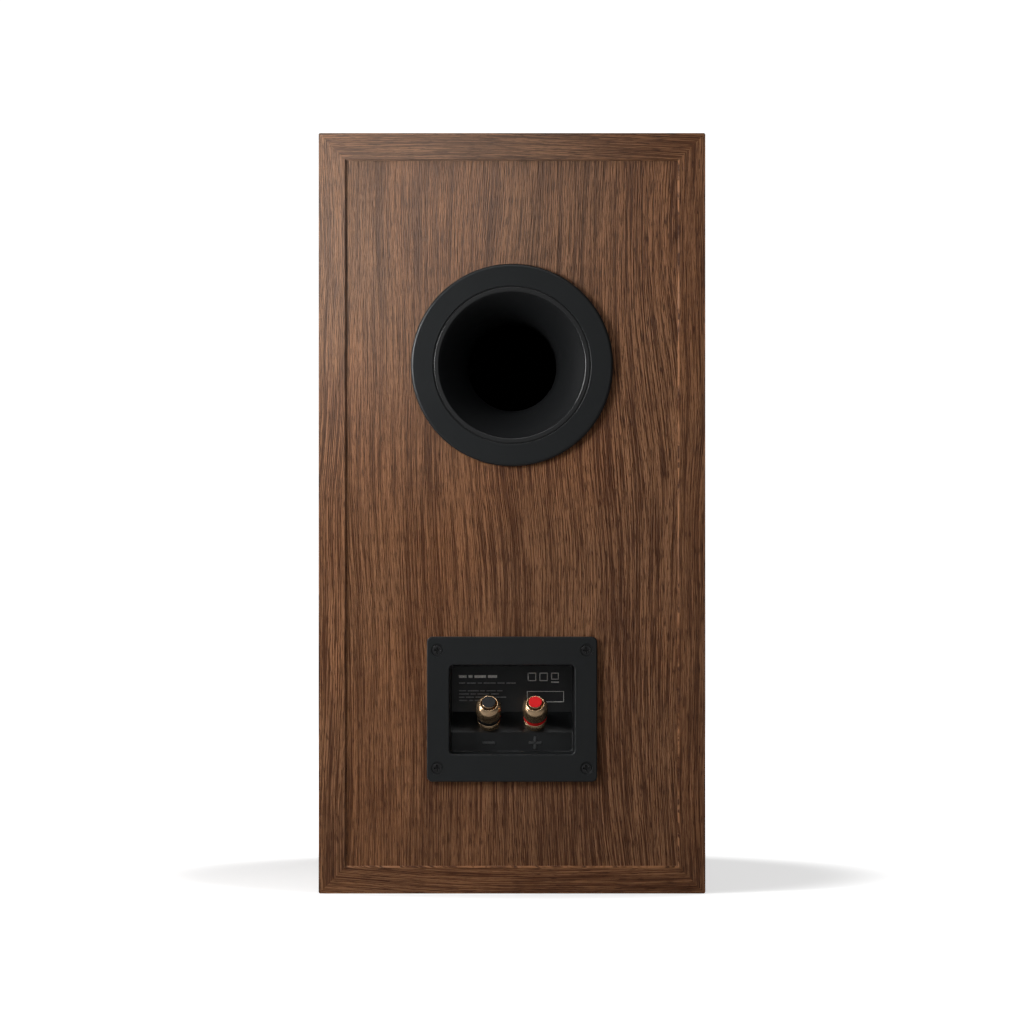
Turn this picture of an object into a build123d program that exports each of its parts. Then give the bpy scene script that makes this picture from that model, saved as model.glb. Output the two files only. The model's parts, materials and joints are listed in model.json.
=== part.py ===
"""Rear-ported three-way bookshelf speaker, built as the separate pieces it comes apart into.

Units are millimetres. +Z is up, the drivers face -Y, and the origin is the centre of the footprint.
"""
import os
from math import asin, cos, pi, radians, sin, tan

from build123d import *

os.makedirs("parts", exist_ok=True)

# ---------------------------------------------------------------- driving dimensions
WIDTH, HEIGHT, DEPTH = 210.0, 413.0, 315.0  # overall, over the trim rings front and back
BOARD = 15.0  # MDF thickness of the shell and rear panel
BAFFLE = 20.0  # thicker MDF that carries the drivers
TRIM_PROUD = 2.0  # front trim rings stand this far off the baffle
PANEL_RECESS = 1.5  # rear panel sits this far inside the mitred frame
PORT_RING_PROUD = 3.0  # port ring over the rear panel
CORNER = 1.0  # rounding of the long outer edges
FRAME_CHAMFER = 0.9  # inner edge of the rear frame

FRONT = -DEPTH / 2 + TRIM_PROUD  # baffle face
SHELL_FRONT = FRONT + BAFFLE
REAR_PANEL = DEPTH / 2 - PORT_RING_PROUD  # rear panel's outer face
REAR = REAR_PANEL + PANEL_RECESS  # rear edges of the shell
REAR_INSIDE = REAR_PANEL - BOARD
INNER_W, INNER_H = WIDTH - 2 * BOARD, HEIGHT - 2 * BOARD

WOOFER_Z, MIDRANGE_Z, PORT_Z = 118.0, 303.0, 287.0
WOOFER_FLANGE_R, MIDRANGE_FLANGE_R = 88.0, 67.0
FLANGE_T = 4.0  # driver flanges are let into the baffle by this much
REBATE_GAP = 0.3
WOOFER_HOLE_R, MIDRANGE_HOLE_R = 74.0, 58.0
WOOFER_SCREW_R, MIDRANGE_SCREW_R = 80.5, 62.5

PORT_R = 24.5  # throat of the reflex port
PORT_WALL = 2.5
PORT_LIP_R, PORT_GROOVE_R, PORT_RING_R = 39.9, 42.3, 55.0
PORT_FLARE_ANGLE = 50.0  # degrees between the bell's rim and the port axis
PORT_SPIGOT_Y, PORT_END_Y = 85.0, 42.0  # joint between the two mouldings, and the inner mouth
PORT_SCREW_R = 48.5

PLATE_W, PLATE_H, PLATE_T = 92.5, 78.8, 2.5  # terminal plate, with its gasket under it
GASKET_T = 0.5
PLATE_Z = 100.1
RECESS_W, RECESS_H, RECESS_Z = 68.0, 48.5, 99.9
RECESS_DEPTH, SHELF_DEPTH = 23.0, 15.0  # to the label wall, and to the lower face
RECESS_DRAFT = 3.0
CUP_WALL = 2.2
RIM_FILLET, FLOOR_FILLET = 0.8, 0.8  # round the recess's mouth, and round its lower face
POST_TILT = 36.0  # the posts lean up from the horizontal by this many degrees
POST_X = 12.65
TERMINAL_SCREW_DX, TERMINAL_SCREW_DZ = 81.0, 64.0
SCREW_R, PILOT_GAP = 1.75, 0.05  # screws run in pilot holes cut line to line with their threads

SPACER_H, BOARD_T, SPACER_DX, SPACER_DY = 6.0, 1.6, 110.0, 115.0  # crossover board on the cabinet's floor
BOARD_Y, BOARD_W, BOARD_L = 32.0, 120.0, 125.0


# ---------------------------------------------------------------- helpers
def save(part, name):
    """Label a finished piece and write it to its own STEP file."""
    part.label = name
    export_step(part, f"parts/{name}.step")


def facing_rear(y, z=0.0, x=0.0):
    """Sketch plane seen from behind: x to the viewer's right, y up, extruding towards the rear."""
    return Plane(origin=(x, y, z), x_dir=(-1, 0, 0), z_dir=(0, 1, 0))


def facing_front(y, z=0.0, x=0.0):
    """Sketch plane seen from the front: x to the viewer's right, y up, extruding towards the front."""
    return Plane(origin=(x, y, z), x_dir=(1, 0, 0), z_dir=(0, -1, 0))


def depth_axis(z, x=0.0):
    """Fore-and-aft axis of a driver or the port."""
    return Axis((x, 0, z), (0, 1, 0))


def turned(z, outline, x=0.0):
    """A solid of revolution about a fore-and-aft axis, from an outline of (radius, y) corners."""
    with BuildPart() as piece:
        with BuildSketch(Plane((x, 0, z))):
            with BuildLine():
                Polyline(*outline, close=True)
            make_face()
        revolve(axis=depth_axis(z, x))
    return piece.part


def ring(z, inner, outer, front, back):
    """A plain ring, or a disc where inner is 0, between two depths."""
    with BuildPart() as piece:
        with BuildSketch(facing_rear(front, z)):
            Circle(outer)
            if inner:
                Circle(inner, mode=Mode.SUBTRACT)
        extrude(amount=back - front)
    return piece.part


def around(radius, count, start, z):
    """Places of a bolt circle as (x, z) pairs."""
    angles = [radians(start) + 2 * pi * i / count for i in range(count)]
    return [(radius * cos(a), z + radius * sin(a)) for a in angles]


port_places = around(PORT_SCREW_R, 4, 45, PORT_Z)
driver_places = around(WOOFER_SCREW_R, 8, 22.5, WOOFER_Z) + around(MIDRANGE_SCREW_R, 6, 0, MIDRANGE_Z)
terminal_places = [
    (sx * TERMINAL_SCREW_DX / 2, PLATE_Z + sz * TERMINAL_SCREW_DZ / 2) for sx in (-1, 1) for sz in (-1, 1)
]
board_places = [(sx * SPACER_DX / 2, BOARD_Y + sy * SPACER_DY / 2) for sx in (-1, 1) for sy in (-1, 1)]


# ================================================================ cabinet
# Four shell boards meet in mitres; each is a trapezium in section, its long outer corners slightly rounded.
half_w, half_in, in_top = WIDTH / 2, INNER_W / 2, HEIGHT - BOARD
SHELL_SECTIONS = {
    "bottom_panel": [(-half_w, 0), (half_w, 0), (half_in, BOARD), (-half_in, BOARD)],
    "top_panel": [(-half_w, HEIGHT), (half_w, HEIGHT), (half_in, in_top), (-half_in, in_top)],
    "left_panel": [(half_w, 0), (half_w, HEIGHT), (half_in, in_top), (half_in, BOARD)],
    "right_panel": [(-half_w, 0), (-half_w, HEIGHT), (-half_in, in_top), (-half_in, BOARD)],
}
for name, corners in SHELL_SECTIONS.items():
    upright = name in ("left_panel", "right_panel")
    with BuildPart() as shell_panel:
        with BuildSketch(Plane.XZ.offset(-SHELL_FRONT)):
            with BuildLine():
                Polyline(*corners, close=True)
            make_face()
            with Locations((0, HEIGHT / 2)):
                RectangleRounded(WIDTH, HEIGHT, CORNER, mode=Mode.INTERSECT)
        extrude(amount=-(REAR - SHELL_FRONT))
        rear_edges = shell_panel.faces().sort_by(Axis.Y)[-1].edges()
        long_edges = rear_edges.filter_by(Axis.Z if upright else Axis.X)
        chamfer(long_edges.sort_by(SortBy.LENGTH)[0], FRAME_CHAMFER)
        if name == "bottom_panel":
            with Locations(*[(x, y, BOARD) for x, y in board_places]):
                Cylinder(SCREW_R + PILOT_GAP, 22, mode=Mode.SUBTRACT)
    save(shell_panel.part, name)

with BuildPart() as front_baffle:
    with BuildSketch(facing_rear(FRONT, HEIGHT / 2)):
        RectangleRounded(WIDTH, HEIGHT, CORNER)
    extrude(amount=BAFFLE)
    fillet(front_baffle.faces().sort_by(Axis.Y)[0].edges(), 0.95 * CORNER)
    for z, flange_r, hole_r in (
        (WOOFER_Z, WOOFER_FLANGE_R, WOOFER_HOLE_R),
        (MIDRANGE_Z, MIDRANGE_FLANGE_R, MIDRANGE_HOLE_R),
    ):
        with Locations(facing_rear(FRONT, z)):
            Cylinder(flange_r + REBATE_GAP, 2 * FLANGE_T, mode=Mode.SUBTRACT)
            Cylinder(hole_r, 3 * BAFFLE, mode=Mode.SUBTRACT)
    for x, z in driver_places:
        with Locations(facing_front(FRONT, z, x)):
            Cylinder(SCREW_R + PILOT_GAP, 2 * (BAFFLE - 2), mode=Mode.SUBTRACT)
save(front_baffle.part, "front_baffle")

PORT_REBATE_R, PORT_REBATE = 54.0, 2.0
with BuildPart() as rear_panel:
    with BuildSketch(facing_rear(REAR_INSIDE, HEIGHT / 2)):
        Rectangle(INNER_W, INNER_H)
    extrude(amount=BOARD)
    with Locations(facing_rear(REAR_PANEL, PORT_Z)):
        Cylinder(PORT_REBATE_R + REBATE_GAP, 2 * PORT_REBATE, mode=Mode.SUBTRACT)
        Cylinder(PORT_LIP_R + PORT_WALL + 1.6, 3 * BOARD, mode=Mode.SUBTRACT)
    with BuildSketch(facing_rear(REAR_PANEL, RECESS_Z)):
        RectangleRounded(RECESS_W + 2 * CUP_WALL + 2, RECESS_H + 2 * CUP_WALL + 2, 2)
    extrude(amount=-BOARD, mode=Mode.SUBTRACT)
    for x, z in port_places + terminal_places:
        with Locations(facing_rear(REAR_PANEL, z, x)):
            Cylinder(SCREW_R + PILOT_GAP, 2 * (BOARD - 1), mode=Mode.SUBTRACT)
save(rear_panel.part, "rear_panel")

# A shelf between the two driver chambers ties the four walls together; its two windows let the air through.
BRACE_Z, BRACE_T, BRACE_RIM, BRACE_RIB = 207.0, 12.0, 15.0, 24.0
brace_len = REAR_INSIDE - SHELL_FRONT
window_len = (brace_len - 2 * BRACE_RIM - BRACE_RIB) / 2
with BuildPart() as window_brace:
    with BuildSketch(Plane.XY.offset(BRACE_Z)):
        with Locations((0, (REAR_INSIDE + SHELL_FRONT) / 2)):
            Rectangle(INNER_W, brace_len)
            with GridLocations(0, window_len + BRACE_RIB, 1, 2):
                RectangleRounded(INNER_W - 2 * BRACE_RIM, window_len, 18, mode=Mode.SUBTRACT)
    extrude(amount=BRACE_T)
save(window_brace.part, "window_brace")

# Wadding pads line both side walls behind the woofer.
PAD_T, PAD_LEN, PAD_H, PAD_GAP = 12.0, 190.0, 150.0, 1.0
with BuildPart() as side_wadding:
    for side in (-1, 1):
        with Locations((side * (half_in - PAD_GAP - PAD_T / 2), 25, BOARD + 12 + PAD_H / 2)):
            Box(PAD_T, PAD_LEN, PAD_H)
    fillet(side_wadding.edges().filter_by(Axis.X), 10)
save(side_wadding.part, "side_wadding")


# ================================================================ reflex port
# The bell is an arc that leaves the throat parallel to the axis and meets the lip at the flare angle.
flare_arc_r = (PORT_LIP_R - PORT_R) / (1 - cos(radians(PORT_FLARE_ANGLE)))
flare_depth = flare_arc_r * sin(radians(PORT_FLARE_ANGLE))
PORT_LIP_Y = DEPTH / 2 - 0.1
UNDER_FLANGE_Y = REAR_PANEL - PORT_REBATE
UNDER_FLANGE_FACE = REAR_PANEL + 1.5
bell_y = PORT_LIP_Y - 0.6
throat_y = bell_y - flare_depth


def bell(radius_offset, angle):
    """Point on the bell's arc, or on a parallel arc outside it, at an angle from the throat."""
    arc = flare_arc_r - radius_offset
    return (
        PORT_R + flare_arc_r - arc * cos(radians(angle)),
        throat_y + arc * sin(radians(angle)),
    )


OUTER_ANGLE = 40.0  # where the bell's outside runs into the under-flange's barrel
with BuildPart() as port_flare:
    with BuildSketch(Plane.XY.offset(PORT_Z)):
        with BuildLine():
            Polyline((PORT_LIP_R, bell_y), (PORT_LIP_R + 0.3, PORT_LIP_Y), (PORT_GROOVE_R, PORT_LIP_Y))
            Polyline(
                (PORT_GROOVE_R, PORT_LIP_Y),
                (PORT_GROOVE_R, UNDER_FLANGE_FACE),
                (PORT_REBATE_R, UNDER_FLANGE_FACE),
                (PORT_REBATE_R, UNDER_FLANGE_Y),
                (PORT_LIP_R + PORT_WALL, UNDER_FLANGE_Y),
                bell(PORT_WALL, OUTER_ANGLE),
            )
            ThreePointArc(*[bell(PORT_WALL, angle) for angle in (OUTER_ANGLE, OUTER_ANGLE / 2, 0)])
            Polyline(
                bell(PORT_WALL, 0),
                (PORT_R + PORT_WALL, PORT_SPIGOT_Y),
                (PORT_R, PORT_SPIGOT_Y),
                bell(0, 0),
            )
            ThreePointArc(*[bell(0, angle) for angle in (0, PORT_FLARE_ANGLE / 2, PORT_FLARE_ANGLE)])
        make_face()
    revolve(axis=depth_axis(PORT_Z))
    with Locations(*[facing_rear(UNDER_FLANGE_FACE, z, x) for x, z in port_places]):
        CounterSinkHole(1.9, 3.5, counter_sink_angle=90)
save(port_flare.part, "port_flare")

RING_GAP = 0.6  # shadow line between the lip and the trim ring
SKIRT_IN_R = PORT_REBATE_R + REBATE_GAP + 0.05
with BuildPart() as port_trim_ring:
    add(
        turned(
            PORT_Z,
            [
                (PORT_GROOVE_R + RING_GAP, UNDER_FLANGE_FACE + 0.1),
                (PORT_GROOVE_R + RING_GAP, DEPTH / 2),
                (PORT_RING_R, DEPTH / 2),
                (PORT_RING_R, REAR_PANEL),
                (SKIRT_IN_R, REAR_PANEL),
                (SKIRT_IN_R, UNDER_FLANGE_FACE + 0.1),
            ],
        )
    )
    rear_rims = port_trim_ring.faces().sort_by(Axis.Y)[-1].edges().sort_by(lambda e: e.length)
    fillet(rear_rims[-1], 1.5)
    fillet(rear_rims[0], 0.3)
save(port_trim_ring.part, "port_trim_ring")

SLEEVE_T = 3.0
tube_r = PORT_R + PORT_WALL
save(ring(PORT_Z, tube_r + 0.05, tube_r + SLEEVE_T, PORT_SPIGOT_Y - 24, PORT_SPIGOT_Y + 28), "port_sleeve")

INNER_FLARE_R = 15.0
inner_mouth_y = PORT_END_Y + INNER_FLARE_R
with BuildPart() as port_inner_flare:
    with BuildSketch(Plane.XY.offset(PORT_Z)):
        with BuildLine():
            Line((PORT_R, PORT_SPIGOT_Y), (PORT_R, inner_mouth_y))
            RadiusArc((PORT_R, inner_mouth_y), (PORT_R + INNER_FLARE_R, PORT_END_Y), INNER_FLARE_R)
            Line((PORT_R + INNER_FLARE_R, PORT_END_Y), (PORT_R + INNER_FLARE_R, PORT_END_Y + PORT_WALL))
            RadiusArc(
                (PORT_R + INNER_FLARE_R, PORT_END_Y + PORT_WALL),
                (PORT_R + PORT_WALL, inner_mouth_y),
                -(INNER_FLARE_R - PORT_WALL),
            )
            Polyline(
                (PORT_R + PORT_WALL, inner_mouth_y),
                (PORT_R + PORT_WALL, PORT_SPIGOT_Y),
                (PORT_R, PORT_SPIGOT_Y),
            )
        make_face()
    revolve(axis=depth_axis(PORT_Z))
save(port_inner_flare.part, "port_inner_flare")


# ================================================================ countersunk screws
def countersunk_screws(places, head_y, head_r, shank_r, length, direction=1):
    """Identical countersunk screws, heads flush at head_y and facing the rear, or the front for -1."""
    with BuildPart() as screws:
        for x, z in places:
            neck_y, tip_y = head_y - direction * (head_r - shank_r), head_y - direction * length
            profile = [(0, head_y), (head_r, head_y), (shank_r, neck_y), (shank_r, tip_y), (0, tip_y)]
            add(turned(z, profile, x))
            with BuildSketch(facing_rear(head_y, z, x)):
                Rectangle(1.1 * head_r, head_r / 4)
                Rectangle(head_r / 4, 1.1 * head_r)
            extrude(amount=-direction * head_r / 3, mode=Mode.SUBTRACT)
    return screws.part


save(countersunk_screws(port_places, UNDER_FLANGE_FACE - 0.1, 3.3, SCREW_R, 15), "port_screws")


# ================================================================ terminal cup
plate_face = REAR_PANEL + PLATE_T
tilt = radians(POST_TILT)
shelf_drop = (RECESS_DEPTH - SHELF_DEPTH) / tan(tilt)
recess_top, recess_bottom = RECESS_Z + RECESS_H / 2, RECESS_Z - RECESS_H / 2
SHELF_TOP_Z = 97.9
label_y, lower_y = plate_face - RECESS_DEPTH, plate_face - SHELF_DEPTH
shelf_edge_z = SHELF_TOP_Z - shelf_drop


def cup_section(wall):
    """Side outline of the recess, or of the moulding around it, wall thick; (y, z) corners."""
    lean = wall * tan(tilt / 2)
    mouth_y = REAR_PANEL + GASKET_T if wall else plate_face
    return [
        (mouth_y, recess_top + wall),
        (label_y - wall, recess_top + wall),
        (label_y - wall, SHELF_TOP_Z - lean),
        (lower_y - wall, shelf_edge_z - lean),
        (lower_y - wall, recess_bottom - wall),
        (mouth_y, recess_bottom - wall),
    ]


with BuildPart() as recess:
    with BuildSketch(facing_rear(plate_face, RECESS_Z)):
        RectangleRounded(RECESS_W, RECESS_H, 2.5)
    extrude(amount=-RECESS_DEPTH, taper=RECESS_DRAFT)
    with BuildSketch(Plane.YZ):
        with BuildLine():
            Polyline(*cup_section(0), close=True)
        make_face()
    extrude(amount=RECESS_W, both=True, mode=Mode.INTERSECT)
    lower_face = recess.faces().filter_by(Plane.XZ).filter_by(lambda f: abs(f.center().Y - lower_y) < 0.01)[0]
    fillet(lower_face.edges(), FLOOR_FILLET)

# The posts stand on the slope, half way between the label wall and the lower face.
post_y, post_z = (label_y + lower_y) / 2, (SHELF_TOP_Z + shelf_edge_z) / 2
MARK, MARK_W, MARK_H = 6.6, 1.1, 0.4
MARK_Z = (shelf_edge_z + recess_bottom) / 2
STUD_R = 3.0


def post_plane(x):
    """Plane through a post's axis: x is the radius and y runs out along the post from the slope."""
    return Plane(origin=(x, post_y, post_z), x_dir=(1, 0, 0), z_dir=(0, -sin(tilt), cos(tilt)))


def post_axis(x):
    """The axis that a post's pieces turn and slide on."""
    return Axis((x, post_y, post_z), (0, cos(tilt), sin(tilt)))


def on_post(x, h):
    """Sketch plane square to a post's axis, h out from the slope."""
    return Plane(
        origin=(x, post_y + h * cos(tilt), post_z + h * sin(tilt)),
        x_dir=(1, 0, 0),
        z_dir=(0, cos(tilt), sin(tilt)),
    )


def post_turned(x, outline):
    """A solid turned about a post's axis from an outline of (radius, height) corners."""
    with BuildPart() as piece:
        with BuildSketch(post_plane(x)):
            with BuildLine():
                Polyline(*outline, close=True)
            make_face()
        revolve(axis=post_axis(x))
    return piece.part


COUNTERBORE = 0.5
with BuildPart() as terminal_cup:
    with BuildSketch(facing_rear(REAR_PANEL + GASKET_T, PLATE_Z)):
        RectangleRounded(PLATE_W, PLATE_H, 3)
    extrude(amount=PLATE_T - GASKET_T)
    fillet(terminal_cup.faces().sort_by(Axis.Y)[-1].edges(), 0.7)
    with BuildSketch(Plane.YZ):
        with BuildLine():
            Polyline(*cup_section(CUP_WALL), close=True)
        make_face()
    extrude(amount=RECESS_W / 2 + CUP_WALL, both=True)
    add(recess.part, mode=Mode.SUBTRACT)
    rim = terminal_cup.faces().sort_by(Axis.Y)[-1].inner_wires()[0].edges()
    fillet(rim, RIM_FILLET)
    with Locations(*[facing_rear(plate_face, z, x) for x, z in terminal_places]):
        Cylinder(3.7, 2 * COUNTERBORE, mode=Mode.SUBTRACT)
    with Locations(*[facing_rear(plate_face - COUNTERBORE, z, x) for x, z in terminal_places]):
        CounterSinkHole(1.9, 3.15, depth=PLATE_T, counter_sink_angle=90)
    for x in (-POST_X, POST_X):
        with Locations(on_post(x, 0)):
            Cylinder(STUD_R + 0.1, 4 * CUP_WALL, mode=Mode.SUBTRACT)
    with BuildSketch(facing_rear(lower_y, MARK_Z)):
        with Locations((-POST_X, 0)):
            Rectangle(MARK, MARK_W)
        with Locations((POST_X, 0)):
            Rectangle(MARK, MARK_W)
            Rectangle(MARK_W, MARK)
    extrude(amount=MARK_H)
save(terminal_cup.part, "terminal_cup")

# A thin foam gasket seals the plate to the panel, just inside the plate's outline.
with BuildPart() as terminal_gasket:
    with BuildSketch(facing_rear(REAR_PANEL, PLATE_Z)):
        RectangleRounded(PLATE_W - 2, PLATE_H - 2, 2)
        with Locations((0, RECESS_Z - PLATE_Z)):
            Rectangle(RECESS_W + 2 * CUP_WALL + 0.4, RECESS_H + 2 * CUP_WALL + 0.4, mode=Mode.SUBTRACT)
        with GridLocations(TERMINAL_SCREW_DX, TERMINAL_SCREW_DZ, 2, 2):
            Circle(2, mode=Mode.SUBTRACT)
    extrude(amount=GASKET_T)
save(terminal_gasket.part, "terminal_gasket")

save(countersunk_screws(terminal_places, plate_face - COUNTERBORE, 3.0, SCREW_R, 14), "terminal_screws")


# ================================================================ binding posts
# Heights run along the post from the slope: brass foot, coloured ring, knob, then the stud's head and its cap.
FOOT_H, FOOT_R, RING_TOP, RING_R = 5.1, 6.35, 7.85, 6.3
KNOB_FOOT, KNOB_FOOT_R, KNOB_R, KNOB_TOP = 7.9, 6.45, 6.9, 18.34
CROWN_H, CROWN_R, MOUTH_R, MOUTH_FLOOR = 14.5, 4.31, 4.5, 10.9  # the crown is an arc from the side to the mouth
HEAD_FOOT, HEAD_TOP, HEAD_R = 17.0, 19.4, 3.78  # the stud's wider head keeps the knob on
CAP_R, CAP_T, SOCKET_R, SOCKET_DEPTH = 3.6, 0.55, 2.0, 11.0
STUD_TAIL, FIT = 15.0, 0.05
WIRE_HOLE_H, WIRE_HOLE_R = 6.6, 1.3  # bare wire goes through here once the knob is backed off

for polarity, x in (("negative", POST_X), ("positive", -POST_X)):
    with BuildPart() as post:
        add(
            post_turned(
                x,
                [
                    (0, -STUD_TAIL),
                    (STUD_R, -STUD_TAIL),
                    (STUD_R, 0),
                    (FOOT_R - 0.45, 0),
                    (FOOT_R - 0.15, 0.3),
                    (FOOT_R - 0.15, 3.4),
                    (FOOT_R - 0.45, 3.6),
                    (FOOT_R - 0.45, 3.9),
                    (FOOT_R, 4.1),
                    (FOOT_R, FOOT_H - 0.3),
                    (FOOT_R - 0.3, FOOT_H),
                    (STUD_R, FOOT_H),
                    (STUD_R, HEAD_FOOT),
                    (HEAD_R, HEAD_FOOT),
                    (HEAD_R, HEAD_TOP - 0.2),
                    (HEAD_R - 0.2, HEAD_TOP),
                    (0, HEAD_TOP),
                ],
            )
        )
        with Locations(on_post(x, HEAD_TOP)):
            Cylinder(SOCKET_R, 2 * SOCKET_DEPTH, mode=Mode.SUBTRACT)
        with Locations(on_post(x, WIRE_HOLE_H).rotated((0, 90, 0))):
            Cylinder(WIRE_HOLE_R, 4 * STUD_R, mode=Mode.SUBTRACT)
    save(post.part, f"{polarity}_post")

    save(
        post_turned(
            x,
            [
                (STUD_R + FIT, FOOT_H + 0.03),
                (RING_R, FOOT_H + 0.03),
                (RING_R, RING_TOP),
                (STUD_R + FIT, RING_TOP),
            ],
        ),
        f"{polarity}_ring",
    )

    # The crown's arc starts upright at the side and ends at the mouth's edge.
    crown_centre = KNOB_R - CROWN_R
    half_way = radians(35)
    with BuildPart() as knob:
        with BuildSketch(post_plane(x)):
            with BuildLine():
                Polyline(
                    (MOUTH_R, KNOB_TOP),
                    (MOUTH_R, MOUTH_FLOOR),
                    (STUD_R + FIT, MOUTH_FLOOR),
                    (STUD_R + FIT, KNOB_FOOT),
                    (KNOB_FOOT_R, KNOB_FOOT),
                    (KNOB_R, KNOB_FOOT + 3.6),
                    (KNOB_R, CROWN_H),
                )
                ThreePointArc(
                    (KNOB_R, CROWN_H),
                    (crown_centre + CROWN_R * cos(half_way), CROWN_H + CROWN_R * sin(half_way)),
                    (MOUTH_R, KNOB_TOP),
                )
            make_face()
        revolve(axis=post_axis(x))
    save(knob.part, f"{polarity}_knob")

    save(
        post_turned(
            x,
            [
                (0, HEAD_TOP - 9.4),
                (SOCKET_R - FIT, HEAD_TOP - 9.4),
                (SOCKET_R - FIT, HEAD_TOP + 0.03),
                (CAP_R, HEAD_TOP + 0.03),
                (CAP_R, HEAD_TOP + CAP_T - 0.15),
                (CAP_R - 0.15, HEAD_TOP + CAP_T),
                (0, HEAD_TOP + CAP_T),
            ],
        ),
        f"{polarity}_cap",
    )

# Behind the cup each post carries a hexagon nut and the solder tag under it.
TAG_T, NUT_H, NUT_AF = 0.8, 4.0, 10.0
slope_back = -CUP_WALL
with BuildPart() as post_nuts:
    for x in (-POST_X, POST_X):
        with BuildSketch(on_post(x, slope_back - TAG_T)):
            RegularPolygon(NUT_AF / 2, 6, major_radius=False)
            Circle(STUD_R + FIT, mode=Mode.SUBTRACT)
        extrude(amount=-NUT_H)
save(post_nuts.part, "post_nuts")

TAG_LEN, TAG_W = 15.0, 5.0
with BuildPart() as post_solder_tags:
    for x in (-POST_X, POST_X):
        with BuildSketch(on_post(x, slope_back)):
            Circle(NUT_AF / 2)
            with Locations((0, -TAG_LEN / 2)):
                Rectangle(TAG_W, TAG_LEN)
            Circle(STUD_R + FIT, mode=Mode.SUBTRACT)
            with Locations((0, -TAG_LEN + 2.5)):
                Circle(1.2, mode=Mode.SUBTRACT)
        extrude(amount=-TAG_T)
save(post_solder_tags.part, "post_solder_tags")


# ================================================================ crossover
board_z = BOARD + SPACER_H
board_top = board_z + BOARD_T
with BuildPart() as crossover_spacers:
    with BuildSketch(Plane.XY.offset(BOARD)):
        with Locations(*board_places):
            Circle(4)
            Circle(2, mode=Mode.SUBTRACT)
    extrude(amount=SPACER_H)
save(crossover_spacers.part, "crossover_spacers")

with BuildPart() as crossover_board:
    with BuildSketch(Plane.XY.offset(board_z)):
        with Locations((0, BOARD_Y)):
            RectangleRounded(BOARD_W, BOARD_L, 3)
        with Locations(*board_places):
            Circle(2, mode=Mode.SUBTRACT)
    extrude(amount=BOARD_T)
save(crossover_board.part, "crossover_board")

with BuildPart() as crossover_screws:
    with BuildSketch(Plane.XY.offset(BOARD - 10)):
        with Locations(*board_places):
            Circle(SCREW_R)
    extrude(amount=SPACER_H + BOARD_T + 10)
    with BuildSketch(Plane.XY.offset(board_top)):
        with Locations(*board_places):
            Circle(3.4)
    extrude(amount=2.2)
save(crossover_screws.part, "crossover_screws")


def wound_coil(x, y, flange_r, wire_r, height, bore_r):
    """A bobbin standing on the board with its winding between two cheeks."""
    cheek = 1.5
    with BuildPart() as coil:
        with BuildSketch(Plane.XZ.offset(-y)):
            with BuildLine():
                Polyline(
                    (x + bore_r, board_top),
                    (x + flange_r, board_top),
                    (x + flange_r, board_top + cheek),
                    (x + wire_r, board_top + cheek),
                    (x + wire_r, board_top + height - cheek),
                    (x + flange_r, board_top + height - cheek),
                    (x + flange_r, board_top + height),
                    (x + bore_r, board_top + height),
                    close=True,
                )
            make_face()
        revolve(axis=Axis((x, y, 0), (0, 0, 1)))
    return coil.part


save(wound_coil(-32, 0, 21, 19, 28, 6.0), "woofer_inductor")
with BuildPart() as air_core_inductors:
    add(wound_coil(24, -3, 16, 14.5, 16, 8.0))
    add(wound_coil(33, 70, 16, 14.5, 16, 8.0))
save(air_core_inductors.part, "air_core_inductors")

CAP_BODY_R, CAP_BODY_L = 7.5, 30.0
with BuildPart() as crossover_capacitors:
    for y in (38, 54, 70, 86):
        with Locations(Location((-33, y, board_top + CAP_BODY_R), (0, 90, 0))):
            Cylinder(CAP_BODY_R, CAP_BODY_L)
save(crossover_capacitors.part, "crossover_capacitors")

with BuildPart() as crossover_resistors:
    for y in (24, 35, 46):
        with Locations((24, y, board_top + 4.5)):
            Box(25, 9, 9)
save(crossover_resistors.part, "crossover_resistors")


# ================================================================ drivers
def inside(s):
    """Y of a point s behind the baffle's face."""
    return FRONT + s


def half_roll(z, roll_in, roll_out, flap, s, thickness):
    """Rubber surround: a half-round roll between two flat flaps, whose fronts are s behind the baffle."""
    middle, y, back = (roll_in + roll_out) / 2, inside(s), inside(s + thickness)
    rise, edge = (roll_out - roll_in) / 2, roll_out + flap
    with BuildPart() as surround:
        with BuildSketch(Plane.XY.offset(z)):
            with BuildLine():
                Line((roll_in - flap, y), (roll_in, y))
                ThreePointArc((roll_in, y), (middle, y - rise), (roll_out, y))
                Polyline((roll_out, y), (edge, y), (edge, back), (roll_out - thickness, back))
                ThreePointArc(
                    (roll_out - thickness, back),
                    (middle, back - rise),
                    (roll_in + thickness, back),
                )
                Polyline((roll_in + thickness, back), (roll_in - flap, back), (roll_in - flap, y))
            make_face()
        revolve(axis=depth_axis(z))
    return surround.part


def spider(z, inner, outer, waves, s, height):
    """Corrugated cloth disc with a flat rim, which centres a voice coil."""
    cloth, rim = 0.5, 4.5
    pitch = (outer - inner) / waves
    with BuildPart() as disc:
        with BuildSketch(Plane.XY.offset(z)):
            with BuildLine():
                for y in (inside(s), inside(s + cloth)):
                    for i in range(waves):
                        start, side = inner + i * pitch, height if i % 2 else -height
                        ThreePointArc((start, y), (start + pitch / 2, y + side), (start + pitch, y))
                Line((inner, inside(s)), (inner, inside(s + cloth)))
                Polyline(
                    (outer, inside(s)),
                    (outer + rim, inside(s)),
                    (outer + rim, inside(s + cloth)),
                    (outer, inside(s + cloth)),
                )
            make_face()
        revolve(axis=depth_axis(z))
    return disc.part


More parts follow.
